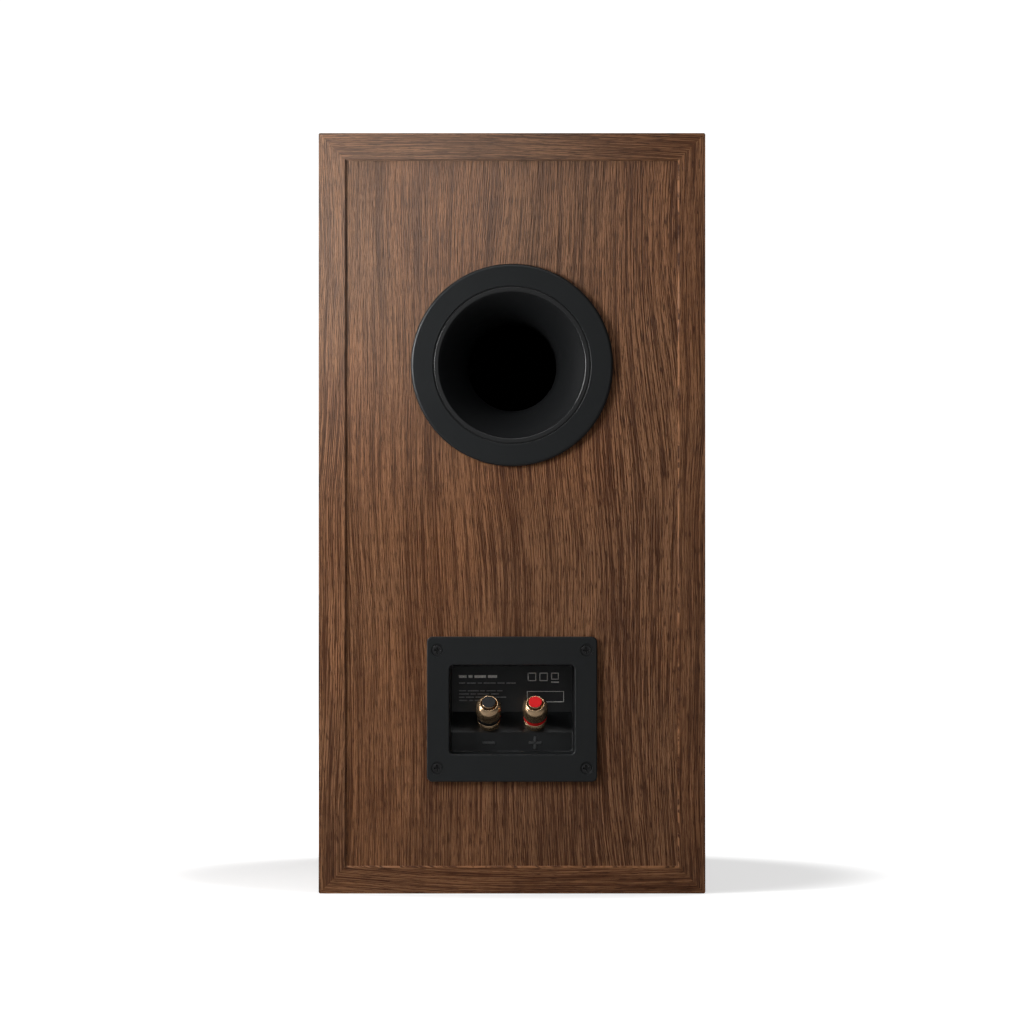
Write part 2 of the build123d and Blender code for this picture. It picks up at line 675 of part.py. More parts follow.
def thin_shell(z, arc, thickness):
    """A shell turned from an arc through three points of (radius, depth), thickness deep along the axis."""
    with BuildPart() as shell:
        with BuildSketch(Plane.XY.offset(z)):
            with BuildLine():
                front, back = [[(r, inside(s + shift)) for r, s in arc] for shift in (0, thickness)]
                ThreePointArc(*front)
                ThreePointArc(*back)
                Line(front[0], back[0])
                Line(front[-1], back[-1])
            make_face()
        revolve(axis=depth_axis(z))
    return shell.part


def cone(z, rim, neck, bow, thickness):
    """A cone's shell between (radius, depth) of its rim and neck, bowed forward like a shallow horn."""
    middle = ((rim[0] + neck[0]) / 2, (rim[1] + neck[1]) / 2 - bow)
    return thin_shell(z, (rim, middle, neck), thickness)


def dome(z, radius, rise, base_s, thickness):
    """A shallow spherical cap that bulges forward from its base circle."""
    sphere_r = (radius**2 + rise**2) / (2 * rise)
    half = asin(radius / sphere_r) / 2
    middle = (sphere_r * sin(half), base_s - rise + sphere_r * (1 - cos(half)))
    return thin_shell(z, ((0, base_s - rise), middle, (radius, base_s)), thickness)


def front_trim(z, inner, outer, step_r, step_s):
    """Trim ring over a driver's screws: flat, bevelled inwards, with a tongue onto the surround's flap."""
    return turned(
        z,
        [
            (inner, inside(0.6)),
            (inner + 2.2, inside(-TRIM_PROUD)),
            (outer - 1.2, inside(-TRIM_PROUD)),
            (outer, inside(-TRIM_PROUD + 1.2)),
            (outer, inside(0)),
            (step_r, inside(0)),
            (step_r, inside(step_s)),
            (inner, inside(step_s)),
        ],
    )


# ---- woofer
WOOFER_ROLL = (55.0, 67.0)
WOOFER_S, RUBBER = 5.0, 0.8
COIL_R = 17.0
woofer_seat = WOOFER_S + RUBBER
save(front_trim(WOOFER_Z, 67.5, 89.5, 71.8, WOOFER_S - 0.05), "woofer_trim_ring")
save(half_roll(WOOFER_Z, *WOOFER_ROLL, 4.0, WOOFER_S, RUBBER), "woofer_surround")

with BuildPart() as woofer_basket:
    add(
        turned(
            WOOFER_Z,
            [
                (72, inside(0)),
                (WOOFER_FLANGE_R, inside(0)),
                (WOOFER_FLANGE_R, inside(FLANGE_T)),
                (73.5, inside(FLANGE_T)),
                (73.5, inside(12)),
                (53, inside(40)),
                (53, inside(53)),
                (21, inside(53)),
                (21, inside(50.5)),
                (50.5, inside(50.5)),
                (50.5, inside(40)),
                (46, inside(40)),
                (46, inside(38)),
                (50.5, inside(38)),
                (71, inside(10.5)),
                (71, inside(8.2)),
                (67.2, inside(8.2)),
                (67.2, inside(woofer_seat)),
                (72, inside(woofer_seat)),
            ],
        )
    )
    with BuildSketch(facing_rear(inside(12.5), WOOFER_Z)):
        for start in range(0, 360, 60):
            with Locations(Rotation(0, 0, start)):
                SlotArc(CenterArc((0, 0), 62, 12, 36), 12)
    extrude(amount=24, mode=Mode.SUBTRACT)
    with Locations(*[facing_front(inside(0), z, x) for x, z in around(WOOFER_SCREW_R, 8, 22.5, WOOFER_Z)]):
        CounterSinkHole(1.9, 3.5, depth=FLANGE_T, counter_sink_angle=90)
save(woofer_basket.part, "woofer_basket")

woofer_rim, woofer_neck = (WOOFER_ROLL[0] - 0.2, woofer_seat), (COIL_R + 0.4, 33)
save(cone(WOOFER_Z, woofer_rim, woofer_neck, 2.5, 1.0), "woofer_cone")
save(dome(WOOFER_Z, 23, 6.5, 26.7, 0.8), "woofer_dust_cap")
with BuildPart() as woofer_voice_coil:
    add(ring(WOOFER_Z, COIL_R, COIL_R + 0.4, inside(31), inside(66)))
    add(ring(WOOFER_Z, COIL_R + 0.4, COIL_R + 1.6, inside(49), inside(63)))
save(woofer_voice_coil.part, "woofer_voice_coil")
save(spider(WOOFER_Z, COIL_R + 0.4, 45.6, 8, 37.5, 1.6), "woofer_spider")
save(ring(WOOFER_Z, COIL_R + 2.2, 46, inside(53), inside(59)), "woofer_top_plate")
save(ring(WOOFER_Z, 24, 50, inside(59), inside(77)), "woofer_magnet")
with BuildPart() as woofer_yoke:
    add(ring(WOOFER_Z, 5, 45, inside(77), inside(84)))
    add(ring(WOOFER_Z, 5, COIL_R - 0.4, inside(52), inside(77)))
save(woofer_yoke.part, "woofer_yoke")

# ---- midrange
MIDRANGE_ROLL = (44.5, 51.0)
MIDRANGE_S, MID_COIL_R = 4.0, 19.6
midrange_seat = MIDRANGE_S + RUBBER
save(front_trim(MIDRANGE_Z, 51.6, 69.0, 55.8, MIDRANGE_S - 0.05), "midrange_trim_ring")
save(half_roll(MIDRANGE_Z, *MIDRANGE_ROLL, 3.5, MIDRANGE_S, RUBBER), "midrange_surround")
with BuildPart() as midrange_basket:
    add(
        turned(
            MIDRANGE_Z,
            [
                (56, inside(0)),
                (MIDRANGE_FLANGE_R, inside(0)),
                (MIDRANGE_FLANGE_R, inside(FLANGE_T)),
                (57.7, inside(FLANGE_T)),
                (57.7, inside(12)),
                (42, inside(27)),
                (42, inside(32)),
                (23, inside(32)),
                (23, inside(30)),
                (40, inside(30)),
                (40, inside(26)),
                (36, inside(26)),
                (36, inside(24.3)),
                (41, inside(24.3)),
                (55.7, inside(11)),
                (55.7, inside(7)),
                (51.2, inside(7)),
                (51.2, inside(midrange_seat)),
                (56, inside(midrange_seat)),
            ],
        )
    )
    with BuildSketch(facing_rear(inside(11.5), MIDRANGE_Z)):
        for start in range(0, 360, 60):
            with Locations(Rotation(0, 0, start)):
                SlotArc(CenterArc((0, 0), 48.5, 12, 36), 7)
    extrude(amount=12, mode=Mode.SUBTRACT)
    with Locations(*[facing_front(inside(0), z, x) for x, z in around(MIDRANGE_SCREW_R, 6, 0, MIDRANGE_Z)]):
        CounterSinkHole(1.9, 3.5, depth=FLANGE_T, counter_sink_angle=90)
save(midrange_basket.part, "midrange_basket")
midrange_rim, midrange_neck = (MIDRANGE_ROLL[0] - 0.2, midrange_seat), (MID_COIL_R + 0.4, 16.5)
save(cone(MIDRANGE_Z, midrange_rim, midrange_neck, 1.2, 0.7), "midrange_cone")
with BuildPart() as midrange_voice_coil:
    add(ring(MIDRANGE_Z, MID_COIL_R, MID_COIL_R + 0.4, inside(16), inside(41)))
    add(ring(MIDRANGE_Z, MID_COIL_R + 0.4, MID_COIL_R + 1.4, inside(30.5), inside(37)))
save(midrange_voice_coil.part, "midrange_voice_coil")
save(spider(MIDRANGE_Z, MID_COIL_R + 0.4, 35.8, 5, 23.8, 1.3), "midrange_spider")
save(ring(MIDRANGE_Z, 21.7, 37, inside(32), inside(37)), "midrange_top_plate")
save(ring(MIDRANGE_Z, 25, 40, inside(37), inside(50)), "midrange_magnet")
with BuildPart() as midrange_yoke:
    add(ring(MIDRANGE_Z, 13.6, 37, inside(50), inside(55)))
    add(ring(MIDRANGE_Z, 13.6, MID_COIL_R - 0.4, inside(22), inside(50)))
save(midrange_yoke.part, "midrange_yoke")

CHAMBER_R, CHAMBER_BACK = 60.0, 104.0
with BuildPart() as midrange_chamber:
    add(
        turned(
            MIDRANGE_Z,
            [
                (CHAMBER_R, inside(BAFFLE)),
                (CHAMBER_R + 11, inside(BAFFLE)),
                (CHAMBER_R + 11, inside(BAFFLE + 3)),
                (CHAMBER_R + 2.5, inside(BAFFLE + 3)),
                (CHAMBER_R - 3.5, inside(CHAMBER_BACK)),
                (0, inside(CHAMBER_BACK)),
                (0, inside(CHAMBER_BACK - 2.5)),
                (CHAMBER_R - 6, inside(CHAMBER_BACK - 2.5)),
            ],
        )
    )
save(midrange_chamber.part, "midrange_chamber")

# ---- tweeter, inside the midrange's hollow pole
DOME_R = 9.5
save(
    turned(
        MIDRANGE_Z,
        [
            (MID_COIL_R - 0.5, inside(17.6)),
            (MID_COIL_R - 0.5, inside(22)),
            (DOME_R + 0.8, inside(22)),
            (DOME_R + 0.5, inside(20.6)),
            (DOME_R + 1.1, inside(19.9)),
            (DOME_R + 1.9, inside(20.2)),
            (MID_COIL_R - 1.2, inside(17.3)),
        ],
    ),
    "tweeter_waveguide",
)
with BuildPart() as tweeter_dome:
    add(dome(MIDRANGE_Z, DOME_R, 3.2, 20.4, 0.3))
    add(ring(MIDRANGE_Z, DOME_R - 0.3, DOME_R, inside(20.4), inside(26)))
save(tweeter_dome.part, "tweeter_dome")
save(
    turned(
        MIDRANGE_Z,
        [
            (0, inside(22.3)),
            (DOME_R - 0.8, inside(22.3)),
            (DOME_R - 0.8, inside(29)),
            (DOME_R + 0.6, inside(29)),
            (DOME_R + 0.6, inside(22)),
            (13.5, inside(22)),
            (13.5, inside(38)),
            (0, inside(38)),
        ],
    ),
    "tweeter_motor",
)

save(countersunk_screws(driver_places, inside(0.1), 3.3, SCREW_R, 17, direction=-1), "driver_screws")


# ================================================================ internal leads
LEAD_R = 2.0


def lead(points):
    """A sheathed lead: straight runs joined by tangent arcs, each as large as its shorter run allows."""
    corners = [Vector(p) for p in points]
    runs = [b - a for a, b in zip(corners, corners[1:])]
    radii = [
        0.45 * min(before.length, after.length) / tan(radians(before.get_angle(after)) / 2)
        for before, after in zip(runs, runs[1:])
    ]
    print("lead arcs", [round(r, 1) for r in radii])
    with BuildPart() as cable:
        with BuildLine():
            path = FilletPolyline(*points, radius=radii)
        with BuildSketch(Plane(origin=path @ 0, z_dir=path % 0)):
            Circle(LEAD_R)
        sweep()
    print("volume over section times length", cable.part.volume / (pi * LEAD_R**2 * path.length))
    return cable.part


lead_z = board_top + LEAD_R + 0.2
save(
    lead([(0, 108, 82), (0, 98, 66), (2, 92, 48), (4, 80, 33), (4, 66, lead_z), (4, 52, lead_z - 0.01)]),
    "input_lead",
)
save(
    lead([(-2, 18, lead_z), (-4, -4, lead_z + 1), (-8, -28, 33), (-10, -60, 40), (-8, -92, 48)]),
    "woofer_lead",
)
save(
    lead(
        [
            (52, 44, lead_z),
            (60, 50, 40),
            (66, 50, 80),
            (66, 46, 130),
            (66, 44, 185),
            (62, 34, 235),
            (46, 8, 268),
            (22, -24, 290),
            (6, -50, 302),
        ]
    ),
    "midrange_lead",
)
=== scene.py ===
import json

import bmesh
import bpy
import numpy as np
from mathutils import Euler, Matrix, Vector


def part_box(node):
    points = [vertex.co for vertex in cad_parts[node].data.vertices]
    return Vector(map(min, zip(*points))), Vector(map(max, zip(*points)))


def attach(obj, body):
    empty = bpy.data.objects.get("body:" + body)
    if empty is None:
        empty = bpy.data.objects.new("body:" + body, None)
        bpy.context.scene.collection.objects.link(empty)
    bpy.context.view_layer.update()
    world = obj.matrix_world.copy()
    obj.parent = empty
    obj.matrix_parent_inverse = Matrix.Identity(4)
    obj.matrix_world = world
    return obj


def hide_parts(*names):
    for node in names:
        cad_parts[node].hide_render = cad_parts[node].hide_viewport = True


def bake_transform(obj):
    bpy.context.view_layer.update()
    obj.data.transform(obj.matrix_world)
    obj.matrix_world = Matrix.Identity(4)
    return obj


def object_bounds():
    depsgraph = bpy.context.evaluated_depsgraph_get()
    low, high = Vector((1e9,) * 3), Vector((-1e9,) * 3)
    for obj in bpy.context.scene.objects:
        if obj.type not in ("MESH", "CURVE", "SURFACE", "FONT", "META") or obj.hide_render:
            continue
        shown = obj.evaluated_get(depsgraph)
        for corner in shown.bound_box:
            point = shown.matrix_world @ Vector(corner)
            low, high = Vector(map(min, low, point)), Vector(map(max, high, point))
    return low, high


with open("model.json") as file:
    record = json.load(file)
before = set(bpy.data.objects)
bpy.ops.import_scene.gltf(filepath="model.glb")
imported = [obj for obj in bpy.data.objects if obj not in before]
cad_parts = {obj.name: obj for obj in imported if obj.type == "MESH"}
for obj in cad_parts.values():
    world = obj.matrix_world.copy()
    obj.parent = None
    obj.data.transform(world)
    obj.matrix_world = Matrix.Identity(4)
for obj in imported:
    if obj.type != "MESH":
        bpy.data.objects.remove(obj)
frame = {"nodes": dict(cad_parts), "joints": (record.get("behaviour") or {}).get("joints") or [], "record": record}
cad_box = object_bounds()
MM = 0.001
print("frame box, mm:", [[round(v / MM, 1) for v in corner] for corner in cad_box])

# %% [markdown]
# # A rear-ported bookshelf speaker
# The real one is a veneered fibreboard box with black moulded plastic let into it: a flared port, a cup
# that holds two brass screw posts, and round drivers in front. The CAD boards are already right, so they
# stay and only get a finish. Turned and soft pieces are worked out again here as finer surfaces, each in
# the place its CAD node gives.

# %% Where things are, read from the frame
rear_y, roof_z, side_x = cad_box[1].y, cad_box[1].z, cad_box[1].x
panel_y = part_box("rear_panel")[1].y
port_low, port_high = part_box("port_trim_ring")
cup_low, cup_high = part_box("terminal_cup")
woofer_low, woofer_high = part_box("woofer_trim_ring")
midrange_low, midrange_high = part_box("midrange_trim_ring")
port_centre = (port_low + port_high) / 2
woofer_centre = (woofer_low + woofer_high) / 2
midrange_centre = (midrange_low + midrange_high) / 2
baffle_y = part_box("front_baffle")[0].y
plate_y = cup_high.y
plate_centre_z = (cup_low.z + cup_high.z) / 2
print("port", port_centre, "drivers", woofer_centre, midrange_centre)

# %% [markdown]
# ## Surfaces on a grid
# Every new piece is a sheet of points with two numbers for each point: how far round and how far along. One
# function joins neighbours into four-sided faces. Where a sheet closes on an axis its points fall together,
# and are merged.

# %% Grid to mesh
def surface(name, grids, wrap=(True, True), sharp=40):
    """Join each grid's points [i, j] to [i + 1, j], [i + 1, j + 1] and [i, j + 1].

    Where wrap says so, the last row or column joins the first. Edges bent by more than sharp degrees are crisp.
    """
    points, quads, first = [], [], 0
    for grid in grids:
        rows, columns = grid.shape[:2]
        number = first + np.arange(rows * columns).reshape(rows, columns)
        i, j = (np.arange(n if closed else n - 1) for n, closed in zip((rows, columns), wrap))
        i, j = i[:, None], j[None, :]
        down, right = (i + 1) % rows, (j + 1) % columns
        corners = number[i, j], number[down, j], number[down, right], number[i, right]
        quads.append(np.stack(corners, -1).reshape(-1, 4))
        points.append(grid.reshape(-1, 3))
        first += rows * columns
    mesh = bpy.data.meshes.new(name)
    mesh.from_pydata(np.vstack(points).tolist(), [], np.vstack(quads).tolist())
    tidy = bmesh.new()
    tidy.from_mesh(mesh)
    bmesh.ops.remove_doubles(tidy, verts=tidy.verts, dist=1e-7)
    bmesh.ops.dissolve_degenerate(tidy, edges=tidy.edges, dist=1e-8)
    bmesh.ops.recalc_face_normals(tidy, faces=tidy.faces)
    tidy.to_mesh(mesh)
    tidy.free()
    mesh.polygons.foreach_set("use_smooth", np.ones(len(mesh.polygons), bool))
    mesh.set_sharp_from_angle(angle=np.radians(sharp))
    made = bpy.data.objects.new(name, mesh)
    bpy.context.scene.collection.objects.link(made)
    return made


def unit(vector):
    """The same direction, one long."""
    return np.asarray(vector, float) / np.linalg.norm(vector)


def rounded(corners, radii, steps=7):
    """Closed outline through corners, each cut off by an arc: for half angle h the arc starts r / tan h away.

    A point just before and after each arc holds the flat sides flat when the faces are shaded smooth.
    """
    pieces, count = [], len(corners)
    for k, radius in enumerate(radii):
        corner = np.array(corners[k], float)
        if radius == 0:
            pieces.append(corner[None])
            continue
        back, on = unit(np.array(corners[k - 1]) - corner), unit(np.array(corners[(k + 1) % count]) - corner)
        half = np.arccos(np.clip(back @ on, -1, 1)) / 2
        centre = corner + unit(back + on) * radius / np.sin(half)
        start, end = corner + back * radius / np.tan(half), corner + on * radius / np.tan(half)
        sweep = np.pi - 2 * half
        t = np.linspace(0, 1, steps + 1)[:, None] * sweep
        arc = centre + (np.sin(sweep - t) * (start - centre) + np.sin(t) * (end - centre)) / np.sin(sweep)
        hold = 0.15 * radius
        pieces.append(np.vstack([start + back * hold, arc, end + on * hold]))
    return np.vstack(pieces)


def turned(profile, origin, direction=(0, 1, 0), turns=160, ripple=None):
    """Profile of (radius, height) in mm round an axis: origin + radius (a cos t + b sin t) + height * axis.

    A ripple is a function of the profile and the angle t, and is added to the radius.
    """
    axis = unit(direction)
    side = unit(np.cross(axis, (1, 0, 0)))
    across = np.cross(side, axis)
    angle = np.arange(turns) * 2 * np.pi / turns
    radius, height = profile[:, 0][:, None], profile[:, 1][:, None]
    if ripple is not None:
        radius = radius + ripple(profile, angle)
    around = np.cos(angle)[:, None] * side + np.sin(angle)[:, None] * across
    ring = (radius * np.ones(turns))[..., None] * around[None]
    return (ring + height[..., None] * axis) * MM + np.array(origin)


def place(made, body, material, replaced=()):
    """Give a piece its finish, the body it moves with and the CAD nodes it stands for."""
    made.data.materials.clear()
    made.data.materials.append(material)
    if body:
        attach(made, body)
    if replaced:
        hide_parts(*replaced)
    faces = sum(len(p.vertices) - 2 for p in made.data.polygons)
    print(f"{made.name}: {faces} triangles, stands for {list(replaced)}")
    return made


tile = rounded([(0, 0), (10, 0), (10, 10), (0, 10)], [2, 2, 2, 2])
print("a square with round corners has an outline of", len(tile), "points")

# %% [markdown]
# ## Shader helpers
# A finish is a small network of nodes. Small helpers keep each recipe to a few lines: one adds a node and
# fills its inputs, and the others do sums, mix colours and add noise. Effects that several finishes share
# are node groups, built once.

# %% Node helpers
def node(tree, kind, inputs=None, **settings):
    """Add one shader node: settings are its properties, inputs are values or links from other sockets."""
    made = tree.nodes.new(kind)
    for key, value in settings.items():
        setattr(made, key, value)
    for key, value in (inputs or {}).items():
        if isinstance(value, bpy.types.NodeSocket):
            tree.links.new(value, made.inputs[key])
        else:
            made.inputs[key].default_value = value
    return made


def sum_of(tree, operation, a, b=0.0, c=0.0, clamp=False):
    """One Math node's result."""
    return node(tree, "ShaderNodeMath", {0: a, 1: b, 2: c}, operation=operation, use_clamp=clamp).outputs[0]


def vector_sum(tree, operation, a, b):
    """One Vector Math node's result."""
    return node(tree, "ShaderNodeVectorMath", {0: a, 1: b}, operation=operation).outputs[0]


def length_of(tree, vector):
    """How long a vector is."""
    return node(tree, "ShaderNodeVectorMath", {0: vector}, operation="LENGTH").outputs["Value"]


def between(tree, value, low, high, to_low=0.0, to_high=1.0):
    """Value spread from low..high onto to_low..to_high, with soft ends."""
    inputs = {"Value": value, "From Min": low, "From Max": high, "To Min": to_low, "To Max": to_high}
    return node(tree, "ShaderNodeMapRange", inputs, interpolation_type="SMOOTHSTEP").outputs["Result"]


def blended(tree, factor, a, b, how="MIX"):
    """Two colours mixed by a factor."""
    made = node(tree, "ShaderNodeMix", data_type="RGBA", blend_type=how)
    for index, value in ((0, factor), (6, a), (7, b)):
        if isinstance(value, bpy.types.NodeSocket):
            tree.links.new(value, made.inputs[index])
        else:
            made.inputs[index].default_value = value
    return made.outputs[2]


def noise(tree, vector, scale, detail=2.0, roughness=0.5, dimensions="3D"):
    """Noise texture's factor."""
    inputs = {"Scale": scale, "Detail": detail, "Roughness": roughness}
    inputs["W" if dimensions == "1D" else "Vector"] = vector
    return node(tree, "ShaderNodeTexNoise", inputs, noise_dimensions=dimensions).outputs["Fac"]


def group(name, inputs, outputs):
    """An empty node group with named sockets; returns it with its input and output nodes."""
    tree = bpy.data.node_groups.new(name, "ShaderNodeTree")
    for socket, kind in inputs.items():
        tree.interface.new_socket(socket, in_out="INPUT", socket_type=kind)
    for socket, kind in outputs.items():
        tree.interface.new_socket(socket, in_out="OUTPUT", socket_type=kind)
    return tree, node(tree, "NodeGroupInput").outputs, node(tree, "NodeGroupOutput").inputs


FLOAT, COLOUR, VECTOR = "NodeSocketFloat", "NodeSocketColor", "NodeSocketVector"
print("socket kinds for the groups:", FLOAT, COLOUR, VECTOR)

# %% [markdown]
# ## Walnut veneer
# The veneer is cut from slices of a trunk, so its lines are growth rings seen on edge. They run the length
# of a board side by side, so rings, fibres and pores are noise that changes fast across the width and
# slowly along the height. A slow wander bends them all together. Broad bands follow the distance from the
# middle of a long, thin ellipsoid that lies along the grain. Lines of several widths together look like
# wood, where lines of one width would look like cloth.

# %% Veneer group
def make_veneer():
    """Colour, roughness and normal from noises of (width, height); the bands use distance instead of width.

    The width is x + y, so that it changes over every upright board, plus a share of the distance to bend it.
    """
    tree, given, out = group(
        "veneer",
        {"Vector": VECTOR, "Light": COLOUR, "Dark": COLOUR, "Pore": COLOUR, "Contrast": FLOAT},
        {"Color": COLOUR, "Roughness": FLOAT, "Normal": VECTOR},
    )
    slow = node(tree, "ShaderNodeMapping", {"Vector": given["Vector"], "Scale": (7, 7, 3.6)})
    wander = node(tree, "ShaderNodeTexNoise", {"Vector": slow.outputs[0], "Scale": 1.0, "Detail": 1.5})
    shift = vector_sum(tree, "SUBTRACT", wander.outputs["Color"], (0.5, 0.5, 0.5))
    scaled = vector_sum(tree, "MULTIPLY", shift, (0.026, 0.026, 0.0))
    bent = vector_sum(tree, "ADD", given["Vector"], scaled)
    squeezed = node(tree, "ShaderNodeMapping", {"Vector": bent, "Scale": (1, 1, 0.15)}).outputs[0]
    distance = length_of(tree, squeezed)
    height = node(tree, "ShaderNodeSeparateXYZ", {0: given["Vector"]}).outputs["Z"]
    lean = node(tree, "ShaderNodeSeparateXYZ", {0: bent}).outputs
    width = sum_of(tree, "MULTIPLY_ADD", distance, 0.35, sum_of(tree, "ADD", lean["X"], lean["Y"]))
    small = node(tree, "ShaderNodeMapping", {"Vector": given["Vector"], "Scale": (300, 300, 140)}).outputs[0]
    wriggle = sum_of(tree, "SUBTRACT", noise(tree, small, 1.0, 1.0), 0.5)
    wavy = sum_of(tree, "MULTIPLY_ADD", wriggle, 0.0003, width)

    def streaks(across, along, detail, roughness=0.55, line=distance):
        """Noise on (line, height), so its marks lie along the grain, 1/across wide and 1/along long."""
        u, v = sum_of(tree, "MULTIPLY", line, across), sum_of(tree, "MULTIPLY", height, along)
        uv = node(tree, "ShaderNodeCombineXYZ", {0: u, 1: v}).outputs[0]
        return noise(tree, uv, 1.0, detail, roughness, "2D")

    bands = streaks(55, 1.4, 1.0)
    rings = streaks(330, 5.0, 3.0, 0.62, width)
    fibres = streaks(1800, 17.0, 3.0, 0.62, wavy)
    dashes = streaks(2400, 110.0, 3.0, 0.6, wavy)
    pores = between(tree, dashes, 0.54, 0.64)
    tone = sum_of(tree, "MULTIPLY", between(tree, rings, 0.3, 0.7), 0.3)
    tone = sum_of(tree, "MULTIPLY_ADD", between(tree, bands, 0.3, 0.7), 0.16, tone)
    tone = sum_of(tree, "MULTIPLY_ADD", between(tree, fibres, 0.36, 0.64), 0.54, tone)
    tone = sum_of(tree, "SUBTRACT", tone, 0.5)
    tone = sum_of(tree, "MULTIPLY_ADD", tone, given["Contrast"], 0.5, clamp=True)
    colour = blended(tree, tone, given["Dark"], given["Light"])
    patches = noise(tree, slow.outputs[0], 2.3, 1.0)
    warm = blended(tree, between(tree, patches, 0.35, 0.65), (1.03, 0.99, 0.96, 1), (0.98, 1.0, 1.03, 1))
    colour = blended(tree, 1.0, colour, warm, "MULTIPLY")
    colour = blended(tree, sum_of(tree, "MULTIPLY", pores, 0.85), colour, given["Pore"])
    tree.links.new(colour, out["Color"])
    rough = sum_of(tree, "MULTIPLY_ADD", fibres, -0.1, 0.4)
    tree.links.new(sum_of(tree, "MULTIPLY_ADD", pores, 0.2, rough), out["Roughness"])
    relief = sum_of(tree, "MULTIPLY_ADD", dashes, -1.0, sum_of(tree, "MULTIPLY", fibres, 0.6))
    relief = sum_of(tree, "MULTIPLY_ADD", rings, 0.5, relief)
    bump = node(tree, "ShaderNodeBump", {"Height": relief, "Strength": 1.0, "Distance": 0.0007})
    tree.links.new(bump.outputs[0], out["Normal"])
    return tree


veneer = make_veneer()
print("veneer group:", len(veneer.nodes), "nodes")

# %% [markdown]
# Each board is a strip of veneer with its grain along its length, so the boards share the recipe and differ
# in where the trunk's centre lies. A Mapping node turns the grain onto the X axis for the boards that lie
# flat. One upper corner of the back gets a painted sheen: a paler colour, standing in for the light's
# sheen there, is mixed in by the distance from that corner.

# %% Veneer finishes
def shade(name, **sockets):
    """A material with one Principled shader, its sockets set to plain values; its tree and shader too."""
    material = bpy.data.materials.new(name)
    material.use_nodes = True
    tree = material.node_tree
    tree.nodes.clear()
    shader = node(tree, "ShaderNodeBsdfPrincipled", {k.replace("_", " "): v for k, v in sockets.items()})
    output = node(tree, "ShaderNodeOutputMaterial")
    tree.links.new(shader.outputs[0], output.inputs["Surface"])
    return material, tree, shader


def object_place(tree, location=(0, 0, 0), rotation=(0, 0, 0), scale=(1, 1, 1)):
    """The object's own coordinates in metres, moved and turned."""
    own = node(tree, "ShaderNodeTexCoord").outputs["Object"]
    inputs = {"Vector": own, "Location": location, "Rotation": rotation, "Scale": scale}
    return node(tree, "ShaderNodeMapping", inputs).outputs[0]


WALNUT = {
    "Light": (0.3, 0.138, 0.064, 1),
    "Dark": (0.096, 0.037, 0.0155, 1),
    "Pore": (0.045, 0.017, 0.008, 1),
    "Contrast": 3.1,
}
# Painted sheen: a paler, greyer colour near one upper rear corner stands in for the light's sheen there.
SHEEN_COLOUR = (0.6, 0.54, 0.48, 1)
SHEEN_CORNER, SHEEN_FULL, SHEEN_NONE = (side_x, rear_y, roof_z), 0.05, 0.24


def walnut(name, location, rotation=(0, 0, 0)):
    """Satin-lacquered walnut with a painted sheen, paler round one corner; location moves the trunk's centre."""
    material, tree, shader = shade(name, Specular_IOR_Level=0.12)
    finish = node(tree, "ShaderNodeGroup", node_tree=veneer)
    for key, value in WALNUT.items():
        finish.inputs[key].default_value = value
    tree.links.new(object_place(tree, location, rotation), finish.inputs["Vector"])
    # Painted sheen: the pale colour is mixed in more strongly the closer a point is to that corner.
    corner = node(tree, "ShaderNodeVectorMath", {0: object_place(tree), 1: SHEEN_CORNER}, operation="DISTANCE")
    painted_sheen = between(tree, corner.outputs["Value"], SHEEN_FULL, SHEEN_NONE, 0.13, 0.0)
    colour = blended(tree, painted_sheen, finish.outputs["Color"], SHEEN_COLOUR)
    tree.links.new(colour, shader.inputs["Base Color"])
    tree.links.new(finish.outputs["Roughness"], shader.inputs["Roughness"])
    tree.links.new(finish.outputs["Normal"], shader.inputs["Normal"])
    return material


ALONG_X = (0, np.pi / 2, 0)
BOARDS = {
    "rear_panel": walnut("walnut_rear", (0.03, 0.03 - panel_y, -0.27)),
    "left_panel": walnut("walnut_left", (0.05, 0.09, 0.31)),
    "right_panel": walnut("walnut_right", (0.19, -0.05, -0.2)),
    "top_panel": walnut("walnut_top", (-0.3, 0.11, 0.37), ALONG_X),
    "bottom_panel": walnut("walnut_bottom", (0.12, -0.06, 0.41), ALONG_X),
    "front_baffle": walnut("walnut_front", (-0.045, 0.17, -0.3)),
}
for board, finish in BOARDS.items():
    frame["nodes"][board].data.materials.clear()
    frame["nodes"][board].data.materials.append(finish)
print("boards finished:", list(BOARDS))

# %% [markdown]
# ## Moulded plastic, turned metal, cloth
# Injection-moulded trim has a fine spark-eroded texture: a matt grain that a raking light picks out. Turned
# metal has faint rings left by the tool. Cloth and windings are regular, so they come from sine waves. Each
# is one group that puts out roughness and a normal, or a mask and a normal, and several finishes use it.

# %% Shared effects
ROUGHNESS_IN = {"Vector": VECTOR, "Roughness": FLOAT}
ROUGHNESS_OUT = {"Roughness": FLOAT, "Normal": VECTOR}


def make_moulded():
    """Fine even grain, about 0.25 mm across, with slow changes of gloss."""
    tree, given, out = group("moulded", ROUGHNESS_IN, ROUGHNESS_OUT)
    grain = noise(tree, given["Vector"], 4200, 2.0)
    cloudy = noise(tree, given["Vector"], 45, 3.0)
    rough = sum_of(tree, "MULTIPLY_ADD", cloudy, 0.12, sum_of(tree, "SUBTRACT", given["Roughness"], 0.06))
    tree.links.new(sum_of(tree, "MULTIPLY_ADD", grain, 0.1, rough), out["Roughness"])
    bump = node(tree, "ShaderNodeBump", {"Height": grain, "Strength": 0.3, "Distance": 0.00003})
    tree.links.new(bump.outputs[0], out["Normal"])
    return tree


